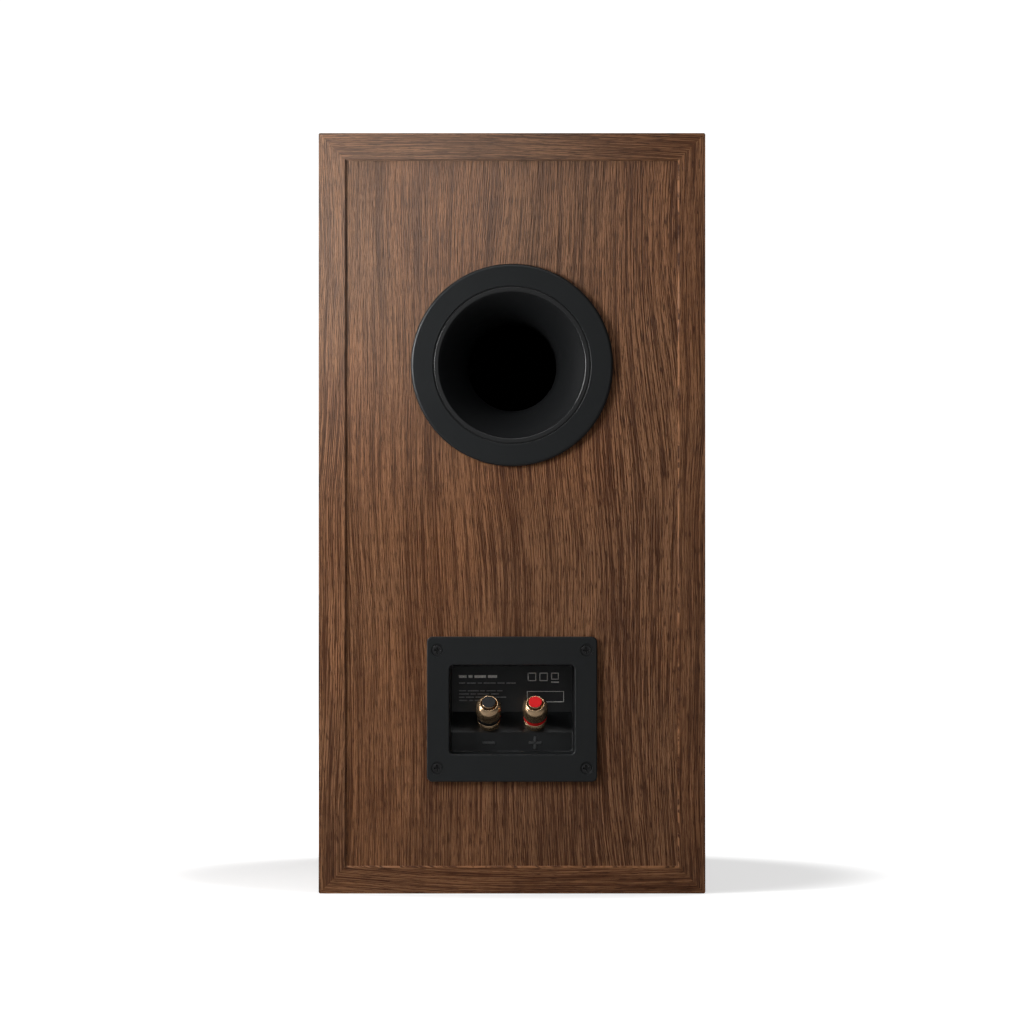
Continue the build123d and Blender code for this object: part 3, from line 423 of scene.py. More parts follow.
def make_lathe():
    """Rings about the local Z axis: noise on the radius alone, so a mark goes all the way round."""
    tree, given, out = group("lathe", ROUGHNESS_IN, ROUGHNESS_OUT)
    flat = node(tree, "ShaderNodeMapping", {"Vector": given["Vector"], "Scale": (1, 1, 0)}).outputs[0]
    marks = noise(tree, sum_of(tree, "MULTIPLY", length_of(tree, flat), 6000), 1.0, 3.0, 0.6, "1D")
    rubbed_and_highlit = noise(tree, given["Vector"], 300, 2.0)
    rough = sum_of(tree, "MULTIPLY_ADD", marks, 0.08, given["Roughness"])
    tree.links.new(sum_of(tree, "MULTIPLY_ADD", rubbed_and_highlit, 0.08, rough), out["Roughness"])
    bump = node(tree, "ShaderNodeBump", {"Height": marks, "Strength": 0.2, "Distance": 0.00002})
    tree.links.new(bump.outputs[0], out["Normal"])
    return tree


def make_threads():
    """Two crossed sine waves, over and under, for cloth; one of them alone gives the turns of a winding."""
    inputs, outputs = {"Vector": VECTOR, "Relief": FLOAT}, {"Mask": FLOAT, "Normal": VECTOR}
    tree, given, out = group("threads", inputs, outputs)
    axes = node(tree, "ShaderNodeSeparateXYZ", {0: given["Vector"]}).outputs
    warp = sum_of(tree, "SINE", sum_of(tree, "MULTIPLY", axes["X"], 2 * np.pi))
    weft = sum_of(tree, "SINE", sum_of(tree, "MULTIPLY", axes["Z"], 2 * np.pi))
    both = sum_of(tree, "MULTIPLY_ADD", warp, weft, sum_of(tree, "ADD", warp, weft))
    mask = sum_of(tree, "MULTIPLY_ADD", both, 0.2, 0.5, clamp=True)
    tree.links.new(mask, out["Mask"])
    height = sum_of(tree, "MULTIPLY", mask, given["Relief"])
    bump = node(tree, "ShaderNodeBump", {"Height": height, "Strength": 0.6, "Distance": 0.0002})
    tree.links.new(bump.outputs[0], out["Normal"])
    return tree


moulded, lathe, threads = make_moulded(), make_lathe(), make_threads()
print("shared groups:", moulded.name, lathe.name, threads.name)


# %% Recipes
def textured(name, effect, roughness, colour, seat=None, **sockets):
    """A material with roughness and normal from a shared group; seat moves and turns its coordinates."""
    material, tree, shader = shade(name, Base_Color=colour, **sockets)
    used = node(tree, "ShaderNodeGroup", node_tree=effect)
    used.inputs["Roughness"].default_value = roughness
    tree.links.new(object_place(tree, **(seat or {})), used.inputs["Vector"])
    tree.links.new(used.outputs["Roughness"], shader.inputs["Roughness"])
    tree.links.new(used.outputs["Normal"], shader.inputs["Normal"])
    return material


def grained(name, light, dark, scale, roughness, **sockets):
    """Two colours mixed by noise, for board, ferrite, wadding and other cast or pressed stuff."""
    material, tree, shader = shade(name, Roughness=roughness, **sockets)
    place_of = object_place(tree, scale=scale)
    mask = noise(tree, place_of, 1.0, 4.0, 0.65)
    tree.links.new(blended(tree, between(tree, mask, 0.3, 0.7), dark, light), shader.inputs["Base Color"])
    bump = node(tree, "ShaderNodeBump", {"Height": mask, "Strength": 0.5, "Distance": 0.0002})
    tree.links.new(bump.outputs[0], shader.inputs["Normal"])
    return material


def woven(name, light, dark, scale, roughness, relief=1.0, **sockets):
    """Threads or turns of wire: the mask darkens the hollows with painted shade and the normal rounds the strands.
    """
    material, tree, shader = shade(name, Roughness=roughness, **sockets)
    used = node(tree, "ShaderNodeGroup", node_tree=threads)
    used.inputs["Relief"].default_value = relief
    tree.links.new(object_place(tree, scale=scale), used.inputs["Vector"])
    # Painted shade: the dark colour goes into the hollows between the strands.
    tree.links.new(blended(tree, used.outputs["Mask"], dark, light), shader.inputs["Base Color"])
    tree.links.new(used.outputs["Normal"], shader.inputs["Normal"])
    return material


def seat_at(point, turn=(0, 0, 0)):
    """Mapping values that carry a point to the origin and its axis onto Z."""
    return {"location": -(Euler(turn).to_matrix() @ Vector(point)), "rotation": turn}


ONTO_Z = (np.pi / 2, 0, 0)
BLACK = (0.0076, 0.0088, 0.0096, 1)
print("bass driver's pattern is seated by", seat_at(woofer_centre, ONTO_Z))

# %% [markdown]
# ## One finish for each slot
# The record names a material slot for every part. The parts whose CAD shape stays take the finish of their
# slot, and the finer pieces below use the same finishes.

# %% Finishes by slot
FINISHES = {
    "bare_mdf": grained(
        "bare_mdf", (0.36, 0.25, 0.15, 1), (0.25, 0.165, 0.095, 1), (900, 900, 900), 0.9
    ),
    "black_moulding": textured("black_moulding", moulded, 0.34, BLACK, Specular_IOR_Level=0.4),
    "black_cap": textured("black_plastic", moulded, 0.45, (0.01, 0.0105, 0.0115, 1), Specular_IOR_Level=0.25),
    "red_cap": textured("red_plastic", moulded, 0.45, (0.68, 0.006, 0.008, 1), Specular_IOR_Level=0.2),
    "black_steel": textured("black_steel", moulded, 0.34, (0.013, 0.0135, 0.014, 1), Metallic=0.3),
    "plated_steel": textured("plated_steel", moulded, 0.3, (0.52, 0.51, 0.48, 1), Metallic=1.0),
    "cast_frame": textured("cast_frame", moulded, 0.6, (0.03, 0.03, 0.031, 1), Metallic=0.2),
    "ferrite": grained(
        "ferrite", (0.07, 0.07, 0.072, 1), (0.035, 0.035, 0.037, 1), (700, 700, 700), 0.55
    ),
    "surround_rubber": textured("surround_rubber", moulded, 0.62, (0.014, 0.014, 0.0145, 1)),
    "spider_cloth": woven(
        "spider_cloth", (0.55, 0.36, 0.13, 1), (0.28, 0.17, 0.06, 1), (1100, 1100, 1100), 0.85
    ),
    "coil_copper": woven(
        "coil_copper", (0.78, 0.33, 0.17, 1), (0.2, 0.07, 0.035, 1), (0, 0, 900), 0.3, Metallic=0.9
    ),
    "white_wadding": grained(
        "white_wadding", (0.82, 0.81, 0.78, 1), (0.6, 0.59, 0.57, 1), (600, 600, 160), 0.95
    ),
    "circuit_board": woven(
        "circuit_board", (0.03, 0.13, 0.06, 1), (0.02, 0.09, 0.04, 1), (700, 0, 700), 0.35, 0.3
    ),
    "capacitor_film": textured("capacitor_film", moulded, 0.32, (0.55, 0.17, 0.02, 1)),
    "resistor_body": grained(
        "resistor_body", (0.62, 0.6, 0.55, 1), (0.5, 0.48, 0.44, 1), (1500, 1500, 1500), 0.8
    ),
    "cable_sheath": textured("cable_sheath", moulded, 0.5, (0.02, 0.02, 0.021, 1)),
    "gasket_foam": grained(
        "gasket_foam", (0.03, 0.03, 0.03, 1), (0.012, 0.012, 0.012, 1), (2600, 2600, 2600), 0.9
    ),
}
METAL = (0.46, 0.455, 0.45, 1)
woofer_metal = textured("woofer_metal", lathe, 0.34, METAL, seat_at(woofer_centre, ONTO_Z), Metallic=1.0)
midrange_metal = textured("midrange_metal", lathe, 0.3, METAL, seat_at(midrange_centre, ONTO_Z), Metallic=1.0)
slot_of = {part["node"]: part["material_slot"] for part in frame["record"]["subparts"]}
for part, slot_name in slot_of.items():
    if slot_name in FINISHES:
        shape = frame["nodes"][part].data
        shape.materials.clear()
        shape.materials.append(FINISHES[slot_name])
print("finishes by slot:", len(FINISHES))

# %% [markdown]
# ## The port
# The moulded port has a flat trim ring, a thin shadow gap, and a lip that turns into a bell. The bell is an
# arc that leaves the throat along the axis. Everything is a profile turned about the port's axis.

# %% Port ring and bell
PORT_R, PORT_WALL, LIP_R, GROOVE_R, GAP, FLANGE_R = 24.5, 2.5, 39.9, 42.3, 0.6, 54
RING_UNDER, RING_SKIRT, FLANGE_THICK = 1.5, 0.65, 3.5
FLARE_ANGLE = np.radians(50)
port_axis = (port_centre.x, 0, port_centre.z)
ring_r, ring_top, ring_foot = (port_high.x - port_low.x) / 2 / MM, port_high.y / MM, port_low.y / MM
under_face = ring_foot + RING_UNDER
ring_profile = rounded(
    [
        (GROOVE_R + GAP, under_face + 0.1),
        (GROOVE_R + GAP, ring_top),
        (ring_r, ring_top),
        (ring_r, ring_foot),
        (ring_r - RING_SKIRT, ring_foot),
        (ring_r - RING_SKIRT, under_face + 0.1),
    ],
    [0, 0.4, 1.6, 0, 0, 0],
)
black_moulding = FINISHES["black_moulding"]
port_ring = surface("port_ring", [turned(ring_profile, port_axis, turns=256)])
place(port_ring, "cabinet", black_moulding, ["port_trim_ring"])

arc_r = (LIP_R - PORT_R) / (1 - np.cos(FLARE_ANGLE))
bell_y = ring_top - 0.7
throat_y = bell_y - arc_r * np.sin(FLARE_ANGLE)


def bell(offset, first, last, count):
    """Arc of the bell, or of its outside offset by the wall, from one angle to another."""
    angle = np.linspace(first, last, count)
    radius = arc_r - offset
    return np.column_stack([PORT_R + arc_r - radius * np.cos(angle), throat_y + radius * np.sin(angle)])


spigot_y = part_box("port_flare")[0].y / MM
lip_y = ring_top - 0.1
lip_corners = [(LIP_R - 1.2, bell_y - 1.4), (LIP_R + 0.1, lip_y), (GROOVE_R, lip_y), (GROOVE_R, under_face)]
lip = rounded(lip_corners, [0, 0.8, 0.3, 0])[1:]
flare_profile = np.vstack(
    [
        bell(0, 0, FLARE_ANGLE, 40)[:-2],
        lip,
        [(FLANGE_R, under_face), (FLANGE_R, under_face - FLANGE_THICK)],
        [(LIP_R + PORT_WALL, under_face - FLANGE_THICK)],
        bell(PORT_WALL, np.radians(40), 0, 16),
        [(PORT_R + PORT_WALL, spigot_y), (PORT_R, spigot_y)],
    ]
)
port_bell = surface("port_bell", [turned(flare_profile, port_axis, turns=256)])
# The bell's black is a little darker than the trim's: painted shade inside the port.
matt = {"Specular_IOR_Level": 0.12, "Coat_Roughness": 0.24}
bell_finish = textured("matt_bell", moulded, 0.5, (0.006, 0.0065, 0.007, 1), **matt)
bell_tree = bell_finish.node_tree
from_axis = {"Vector": object_place(bell_tree, -port_centre), "Scale": (1, 0, 1)}
bell_radius = length_of(bell_tree, node(bell_tree, "ShaderNodeMapping", from_axis).outputs[0])
glossy_lip = between(bell_tree, bell_radius, (LIP_R - 1.6) * MM, (LIP_R - 0.6) * MM)
bell_tree.links.new(glossy_lip, bell_tree.nodes["Principled BSDF"].inputs["Coat Weight"])
place(port_bell, "cabinet", bell_finish, ["port_flare"])
# Painted shade: the bore and the chamber behind it take a darker copy of the black plastic, so the throat looks
# black.
bore_painted_shade = textured("bore_painted_shade", moulded, 0.7, (0.003, 0.0032, 0.0034, 1), Specular_IOR_Level=0.1)
for part in ("port_sleeve", "port_inner_flare", "midrange_chamber"):
    frame["nodes"][part].data.materials[0] = bore_painted_shade

# %% [markdown]
# ## Screw heads
# Each plate screw has a flat head with a cross recess that narrows as it goes down, and four fine ticks
# between the arms. The head is a height field on rings of points: the disc's edge is rounded off, and the
# recess is a smooth step where a point comes inside the cross.

# %% Plate screws
SCREW_R, SCREW_DX, SCREW_DZ, COUNTERBORE = 2.95, 81.0, 64.0, 0.5
ARM_REACH, ARM_HALF, CROSS_DEPTH, TICK_REACH, TICK_HALF, TICK_DEPTH = 1.75, 0.52, 1.15, 1.9, 0.13, 0.08
EDGE_ROUND, HEAD_RISE, HEAD_THICK, SHANK_R, SHANK_TOP, SHANK_END = 0.45, 0.12, 1.3, 1.75, -1.2, -14.0


def smooth_step(value, low, high):
    """0 below low, 1 above high, a cubic between."""
    t = np.clip((value - low) / (high - low), 0, 1)
    return t * t * (3 - 2 * t)


def screw_head(centre, radius, turn, rings=56, spokes=128):
    """Head facing +Y: height falls in a round edge near the radius and by the cross's depth inside it."""
    r = np.linspace(0, 1, rings)[:, None] * radius
    t = np.linspace(0, 2 * np.pi, spokes, endpoint=False)[None]
    u, v = np.abs(r * np.cos(t + turn)), np.abs(r * np.sin(t + turn))
    arm = np.minimum(np.maximum(u / ARM_REACH, v / ARM_HALF), np.maximum(v / ARM_REACH, u / ARM_HALF))
    across, along = np.abs(u - v) / np.sqrt(2), (u + v) / np.sqrt(2)
    tick = np.maximum(along / TICK_REACH, across / TICK_HALF)
    depth = CROSS_DEPTH * (1 - smooth_step(arm, 0.7, 1.05)) * (1 - 0.35 * r / radius)
    depth = np.maximum(depth, TICK_DEPTH * (1 - smooth_step(tick, 0.7, 1.1)))
    edge = np.clip((r - radius + EDGE_ROUND) / EDGE_ROUND, 0, 1)
    height = HEAD_RISE * (1 - (r / radius) ** 2) - EDGE_ROUND * (1 - np.sqrt(1 - 0.98 * edge**2)) - depth
    x, y, z = np.array(centre) / MM
    head = np.stack([x + r * np.cos(t), y + height, z + r * np.sin(t)], -1)
    below, tip = head[-1:].copy(), head[-1:].copy()
    below[..., 1] = tip[..., 1] = y - HEAD_THICK
    tip[..., 0], tip[..., 2] = x, z
    return np.concatenate([head, below, tip]) * MM


places = [
    (sx * SCREW_DX / 2 * MM, plate_y - (COUNTERBORE + 0.02) * MM, plate_centre_z + sz * SCREW_DZ / 2 * MM)
    for sx in (-1, 1)
    for sz in (-1, 1)
]
heads = [screw_head(spot, SCREW_R, turn) for spot, turn in zip(places, (0.12, 0.05, 0.08, -0.1))]
shank = np.array([(0, SHANK_TOP), (SHANK_R, SHANK_TOP), (SHANK_R, SHANK_END), (0, SHANK_END)])
shanks = [turned(shank, spot, turns=24) for spot in places]
plate_screws = surface("plate_screws", heads + shanks, wrap=(False, True))
place(plate_screws, "cabinet", FINISHES["black_steel"], ["terminal_screws"])

# %% [markdown]
# ## Binding posts
# The knobs are turned brass: a polished crown over a straight-knurled side, with a coloured plastic ring
# below and a cap in the post's head. Each is a profile turned about the leaning axis, which the frame's
# joints give. The knurl is a ripple added to the radius: a rounded saw-tooth round the knob that fades out
# at both ends of the band.

# %% Knobs, rings and caps
KNOB_TOP, KNOB_R, KNOB_FOOT, MOUTH_R, BORE_R, CROWN_H, CROWN_R = 18.34, 6.9, 7.9, 4.5, 3.05, 14.5, 4.31
TEETH, KNURL_LOW, KNURL_HIGH, KNURL_DEPTH, KNURL_FROM_R = 56, 8.6, 14.9, 0.17, 6.3
MOUTH_FLOOR, PIVOT_H = 10.9, 12.0
RING_R, RING_LOW, RING_HIGH = 6.3, 5.13, 7.85
PIN_R, PIN_FOOT, CAP_R, CAP_LOW, CAP_TOP = 1.95, 10.0, 3.6, 19.43, 19.95
joints = {joint["name"]: joint for joint in frame["joints"]}


def crown():
    """Arc of radius CROWN_R from upright at the side to the mouth's edge."""
    end = np.arccos((MOUTH_R - KNOB_R + CROWN_R) / CROWN_R)
    angle = np.linspace(0, end, 22)
    return np.column_stack([KNOB_R - CROWN_R + CROWN_R * np.cos(angle), CROWN_H + CROWN_R * np.sin(angle)])


def knurl(profile, angle):
    """Depth of the grooves: (1 - |sin|) shaped teeth, only outside and only between the band's ends."""
    r, h = profile[:, 0][:, None], profile[:, 1][:, None]
    band = smooth_step(h, KNURL_LOW, KNURL_LOW + 0.25) * (1 - smooth_step(h, KNURL_HIGH - 0.25, KNURL_HIGH))
    return -KNURL_DEPTH * band * (r > KNURL_FROM_R) * (1 - np.abs(np.sin(TEETH / 2 * angle))) ** 0.8


side_heights = np.array([8.15, 8.5, 8.6, 8.72, 8.85, 9.5, 10.5, 11.5, 12.5, 13.5, 14.4])
side_r = np.interp(side_heights, [KNOB_FOOT, KNOB_FOOT + 3.6], [6.45, KNOB_R])
knob_profile = np.vstack(
    [
        [(BORE_R, KNOB_FOOT), (6.1, KNOB_FOOT), (6.25, KNOB_FOOT), (6.4, KNOB_FOOT + 0.08)],
        np.column_stack([side_r, side_heights]),
        crown()[:-1],
        [(MOUTH_R + 0.3, KNOB_TOP - 0.08)],
        [(MOUTH_R, KNOB_TOP - 0.4), (MOUTH_R, MOUTH_FLOOR), (BORE_R, MOUTH_FLOOR)],
    ]
)
ring_corners = [(BORE_R, RING_LOW), (RING_R, RING_LOW), (RING_R, RING_HIGH), (BORE_R, RING_HIGH)]
ring_outline = rounded(ring_corners, [0, 0.3, 0.3, 0], 5)
cap_corners = [(PIN_R, PIN_FOOT), (PIN_R, CAP_LOW), (CAP_R, CAP_LOW), (CAP_R, CAP_TOP), (0, CAP_TOP)]
cap_outline = np.vstack([[(0, PIN_FOOT)], rounded(cap_corners, [0.3, 0, 0.06, 0.2, 0], 5)])


def foot_of(turn_joint):
    """The point on a post's axis that its heights are measured from: the joint's pivot less PIVOT_H."""
    return Vector(turn_joint["pos_m"]) - PIVOT_H * MM * Vector(turn_joint["axis"])


for side, slot_name in (("negative", "black_cap"), ("positive", "red_cap")):
    turn_joint = joints[f"{side}_knob_turn"]
    lean, foot = Vector(turn_joint["axis"]), foot_of(turn_joint)
    spin = (np.pi / 2 - np.arctan2(lean.z, lean.y), 0, 0)
    brass = textured(f"{side}_brass", lathe, 0.17, (0.62, 0.43, 0.26, 1), seat_at(foot, spin), Metallic=0.9)
    frame["nodes"][f"{side}_post"].data.materials[0] = brass
    knob = surface(f"{side}_knurled_knob", [turned(knob_profile, foot, lean, TEETH * 6, knurl)])
    place(knob, f"{side}_knob_body", brass, [f"{side}_knob"])
    colour_ring = surface(f"{side}_colour_ring", [turned(ring_outline, foot, lean, 96)])
    place(colour_ring, f"{side}_ring_body", FINISHES[slot_name], [f"{side}_ring"])
    cap = surface(f"{side}_capped_pin", [turned(cap_outline, foot, lean, 96)], wrap=(False, True))
    place(cap, f"{side}_cap_body", FINISHES[slot_name], [f"{side}_cap"])

# %% [markdown]
# ## Stud threads
# Each stud is threaded where the knob runs on it, and the thread shows when the knob is unscrewed. It is a
# ridge that climbs by its pitch in one turn, so its radius depends on height minus angle: a sleeve over the
# stud with a triangle wave of that difference.

# %% Threads
ROOT_R, SLEEVE_R, THREAD_LOW, THREAD_HIGH, THREAD_DEPTH = 2.82, 2.6, 8.3, 16.8, 0.2


def thread(profile, angle):
    """Triangle wave of (height - turns) for a pitch of 1 mm, from root to crest, on the outside only."""
    phase = (profile[:, 1][:, None] - angle[None] / (2 * np.pi)) % 1.0
    return THREAD_DEPTH * (1 - np.abs(2 * phase - 1)) * (profile[:, 0][:, None] > SLEEVE_R)


heights = np.arange(THREAD_LOW, THREAD_HIGH + 0.01, 0.125)
thread_line = np.column_stack([np.full(len(heights), ROOT_R), heights])
sleeve = np.vstack([[(SLEEVE_R, THREAD_LOW)], thread_line, [(SLEEVE_R, THREAD_HIGH)]])
for side in ("negative", "positive"):
    turn_joint = joints[f"{side}_knob_turn"]
    wound = turned(sleeve, foot_of(turn_joint), turn_joint["axis"], 48, thread)
    ridge = surface(f"{side}_stud_thread", [wound])
    brass = frame["nodes"][f"{side}_post"].data.materials[0]
    place(ridge, "cabinet", brass)

# %% [markdown]
# ## Printed panel
# The label wall behind the posts carries fine pale printing. Here it is plain dashes and empty frames, with
# no words, marks or ratings: a sheet of thin rectangles a few hundredths of a millimetre proud of the wall.

# %% Print
LABEL_Y, PROUD, LEFT_EDGE = 134.0, 0.04, 29.0
EMBLEM, LINE, THIN_LINE = 4.6, 0.5, 0.32


def bar(x, z, width, tall):
    """A flat rectangle as a 2 by 2 grid, from x to x - width, which is to the right for a reader."""
    xs, zs = np.array([x, x - width]), np.array([z - tall / 2, z + tall / 2])
    grid = np.empty((2, 2, 3))
    grid[..., 0], grid[..., 1], grid[..., 2] = xs[:, None], LABEL_Y + PROUD, zs[None]
    return grid * MM


def outline(x, z, width, tall, line):
    """Four bars round a rectangle."""
    levels, sides = (z - tall / 2 + line / 2, z + tall / 2 - line / 2), (x, x - width + line)
    return [bar(x, level, width, line) for level in levels] + [bar(edge, z, line, tall) for edge in sides]


def dashes(x, z, tall, lengths, gap):
    """A row of bars with gaps, starting at x."""
    starts = x - np.concatenate([[0], np.cumsum(np.array(lengths[:-1]) + gap)])
    return [bar(start, z, length, tall) for start, length in zip(starts, lengths)]


bold = dashes(LEFT_EDGE, 117.2, 1.5, [4.2, 2.2, 6.4, 5.0], 1.0)
bold += outline(-8.6, 117.0, EMBLEM, EMBLEM, LINE) + outline(-15.0, 117.0, EMBLEM, EMBLEM, LINE)
bold += outline(-21.4, 117.4, 4.2, 3.8, LINE) + [bar(-21.4, 114.1, 4.2, 0.7)]
bold += outline(-8.2, 106.2, 20.2, 6.0, THIN_LINE)
fine = dashes(LEFT_EDGE, 113.6, 0.8, [3.4, 5.0, 2.4, 6.6, 4.0, 5.2], 0.9)
FIRST_ROW, ROW_STEP, ROW_TALL = 109.4, 1.75, 0.62
ROWS = [4, 6, 2.6, 5, 3], [5.5, 3, 6.5, 4.4], [3, 4.4, 6, 2.2, 7], [4.6, 2.4, 5, 3.6]
for row, lengths in enumerate(ROWS):
    fine += dashes(LEFT_EDGE, FIRST_ROW - ROW_STEP * row, ROW_TALL, lengths, 0.8)


def ink(name, worn_colour, fresh_colour):
    """Screen print whose ink is worn unevenly: noise mixes the two colours."""
    material, tree, shader = shade(name, Roughness=0.5)
    worn = between(tree, noise(tree, object_place(tree), 1800, 2.0), 0.3, 0.7)
    tree.links.new(blended(tree, worn, worn_colour, fresh_colour), shader.inputs["Base Color"])
    return material


pale = ink("pale_print", (0.55, 0.54, 0.52, 1), (0.8, 0.77, 0.73, 1))
dim = ink("dim_print", (0.13, 0.13, 0.135, 1), (0.24, 0.24, 0.24, 1))
for name, rows, finish in (("bold_print", bold, pale), ("fine_print", fine, dim)):
    place(surface(name, rows, wrap=(False, False)), "cabinet", finish)

# %% [markdown]
# The minus and plus below the posts stand 0.45 mm high, and hands have rubbed them round and a little
# shiny. Their paler colour is a painted highlight. Each bar is a stack of loops: as a loop shrinks inwards it
# climbs along a quarter circle.

# %% Polarity marks
MARK_LENGTH, MARK_WIDTH, MARK_ROUND, MARK_LIFT, MARK_SUNK = 7.1, 1.6, 0.35, 0.45, 0.3
LOWER_Y, MARK_Z, POST_X = 142.0, 81.27, 12.65


def soft_corner(value):
    """Sign and fourth root of the size, which makes a circle's sine and cosine a soft-cornered square's."""
    return np.sign(value) * np.abs(value) ** 0.25


def rounded_bar(x, z, length, width):
    """Loops of a soft-cornered rectangle; an inset i lifts a loop by sqrt(1 - (1 - i / round)^2) of the lift."""
    inset = np.array([0.0, 0.0, 0.03, 0.08, 0.15, 0.24, MARK_ROUND, width / 2])[:, None]
    lift = MARK_LIFT * np.sqrt(1 - (1 - np.clip(inset / MARK_ROUND, 0, 1)) ** 2)
    lift[0] = -MARK_SUNK
    t = np.linspace(0, 2 * np.pi, 64, endpoint=False)[None]
    across, up = soft_corner(np.cos(t)), soft_corner(np.sin(t))
    loops = [x + (length / 2 - inset) * across, LOWER_Y + lift + 0 * t, z + (width / 2 - inset) * up]
    return np.stack(loops, -1) * MM


strokes = [rounded_bar(x, MARK_Z, MARK_LENGTH, MARK_WIDTH) for x in (POST_X, -POST_X)]
strokes.append(rounded_bar(MARK_Z, -POST_X, MARK_LENGTH, MARK_WIDTH)[..., [2, 1, 0]])
# Painted highlight: the marks' colour is paler than the plate's black, standing in for light on their raised
# edges.
rubbed_and_highlit = textured("painted_highlight_black", moulded, 0.28, (0.045, 0.047, 0.048, 1))
marks = surface("polarity_marks", strokes, wrap=(False, True))
place(marks, "cabinet", rubbed_and_highlit)

# %% [markdown]
# ## Drivers
# On the front, a big metal bass cone with a rubber surround sits under a smaller coaxial driver. A surround
# is a half roll that joins the moving cone to the fixed frame, and a corrugated spider does the same behind
# each cone.

# %% Trim rings and cones
CENTRE = {"woofer": woofer_centre, "midrange": midrange_centre}
SHORT_NAME = {"woofer": "bass", "midrange": "mid"}


def driver_piece(driver, part, outline_of, turns, wrap=(True, True)):
    """Turn an outline of (radius, depth behind the baffle's face) about one driver's axis."""
    profile = np.column_stack([outline_of[:, 0], baffle_y / MM + outline_of[:, 1]])
    on_axis = (CENTRE[driver].x, 0, CENTRE[driver].z)
    return surface(f"{SHORT_NAME[driver]}_{part}", [turned(profile, on_axis, turns=turns)], wrap)


def trim_outline(inner, outer, sleeve_r, sleeve_end):
    """A face 2 mm proud of the baffle, with a sloping inner edge and a sleeve back into the hole."""
    face = [(inner, 0.6), (inner + 2.2, -2), (outer, -2), (outer, 0)]
    sleeve_corners = [(sleeve_r, 0), (sleeve_r, sleeve_end), (inner, sleeve_end)]
    return rounded(face + sleeve_corners, [0.25, 0.7, 1.1, 0, 0, 0, 0])


def arc(start, end, bow, count=28):
    """Points from start to end on a circle that bulges by bow to the left of the way there, in the middle."""
    start, end = np.array(start), np.array(end)
    chord = end - start
    length = np.hypot(*chord)
    side = np.array([-chord[1], chord[0]]) / length
    radius = (length**2 / 4 + bow**2) / (2 * bow)
    centre = (start + end) / 2 + side * (bow - radius)
    half = np.arcsin(length / 2 / radius)
    t = np.linspace(-half, half, count)[:, None]
    return centre + radius * (np.cos(t) * side + np.sin(t) * chord / length)


def shell(line, thickness):
    """Close a line into an outline by coming back along it, moved by the thickness along its normals."""
    slope = np.gradient(line, axis=0)
    normal = np.column_stack([-slope[:, 1], slope[:, 0]]) / np.hypot(*slope.T)[:, None]
    return np.vstack([line, (line - thickness * normal)[::-1]])


trims = {"woofer": trim_outline(67.5, 89.5, 71.8, 4.95), "midrange": trim_outline(51.6, 69.0, 55.8, 3.95)}
for driver, outline_of in trims.items():
    piece = driver_piece(driver, "trim_ring", outline_of, 256)
    place(piece, "cabinet", black_moulding, [f"{driver}_trim_ring"])
cones = {
    "woofer": (shell(arc((54.8, 5.8), (17.4, 33.0), -2.5), -1.0), woofer_metal),
    "midrange": (shell(arc((44.3, 4.8), (20.0, 16.5), -1.2), -0.7), midrange_metal),
}
for driver, (outline_of, metal) in cones.items():
    piece = driver_piece(driver, "cone", outline_of, 192)
    place(piece, f"{driver}_diaphragm", metal, [f"{driver}_cone"])


def dome_line(radius, rise, base, count=24):
    """Height of a shallow dome: a circle through the crown and the rim."""
    ball = (radius**2 + rise**2) / (2 * rise)
    r = np.linspace(0, radius, count)
    return np.column_stack([r, base - (np.sqrt(ball**2 - r**2) - (ball - rise))])


dust_cap = driver_piece("woofer", "dust_cap", shell(dome_line(23.0, 6.5, 26.7), -0.8), 128, (False, True))
place(dust_cap, "woofer_diaphragm", woofer_metal, ["woofer_dust_cap"])


# %% Surrounds and spiders
FOLD = 0.8


def half_roll(inner, outer, flap, depth, thick, count=25):
    """A flap, a half circle that rises forward between inner and outer, and a flap."""
    t = np.linspace(0, np.pi, count)
    middle, radius = (inner + outer) / 2, (outer - inner) / 2
    roll = np.column_stack([middle - radius * np.cos(t), depth - radius * np.sin(t)])
    inner_flap = [(inner - flap, depth), (inner - FOLD, depth)]
    outer_flap = [(outer + FOLD, depth), (outer + flap, depth)]
    return shell(np.vstack([inner_flap, roll, outer_flap]), -thick)


def corrugated(inner, outer, rim, waves, depth, height, thick):
    """A flat rim and a sine of the given number of waves between inner and outer."""
    r = np.linspace(inner, outer, waves * 10 + 1)
    wave = depth + height / 2 * np.sin((r - inner) / (outer - inner) * waves * 2 * np.pi)
    return shell(np.vstack([np.column_stack([r, wave]), [(outer + rim, depth)]]), -thick)


def share_motion(made):
    """Bake the ring's placement into its mesh and read its points into an array that nothing uses."""
    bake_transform(made)
    points = np.empty(len(made.data.vertices) * 3)
    made.data.vertices.foreach_get("co", points)


for driver, part, outline_of, inner, outer, slot_name in (
    ("woofer", "surround", half_roll(55, 67, 4, 5, 0.8), 55, 67, "surround_rubber"),
    ("midrange", "surround", half_roll(44.5, 51, 3.5, 4, 0.7), 44.5, 51, "surround_rubber"),
    ("woofer", "spider", corrugated(18.65, 45.6, 4.5, 8, 37.5, 1.6, 0.5), 18.7, 45.6, "spider_cloth"),
    ("midrange", "spider", corrugated(20.1, 35.8, 4.5, 5, 23.8, 1.3, 0.5), 20.2, 35.8, "spider_cloth"),
):
    piece = driver_piece(driver, part, outline_of, 160)
    share_motion(piece)
    place(piece, None, FINISHES[slot_name], [f"{driver}_{part}"])

# %% [markdown]
# ## Wadding
# Two pads of polyester wadding lie against the side walls. A pad is a box with soft corners, |x|^n + |y|^n
# + |z|^n = 1, whose surface rises and sinks a little where the fibres bunch. It is worked out directly,
# because it is slack, lies flat against a wall and is out of sight inside the box.

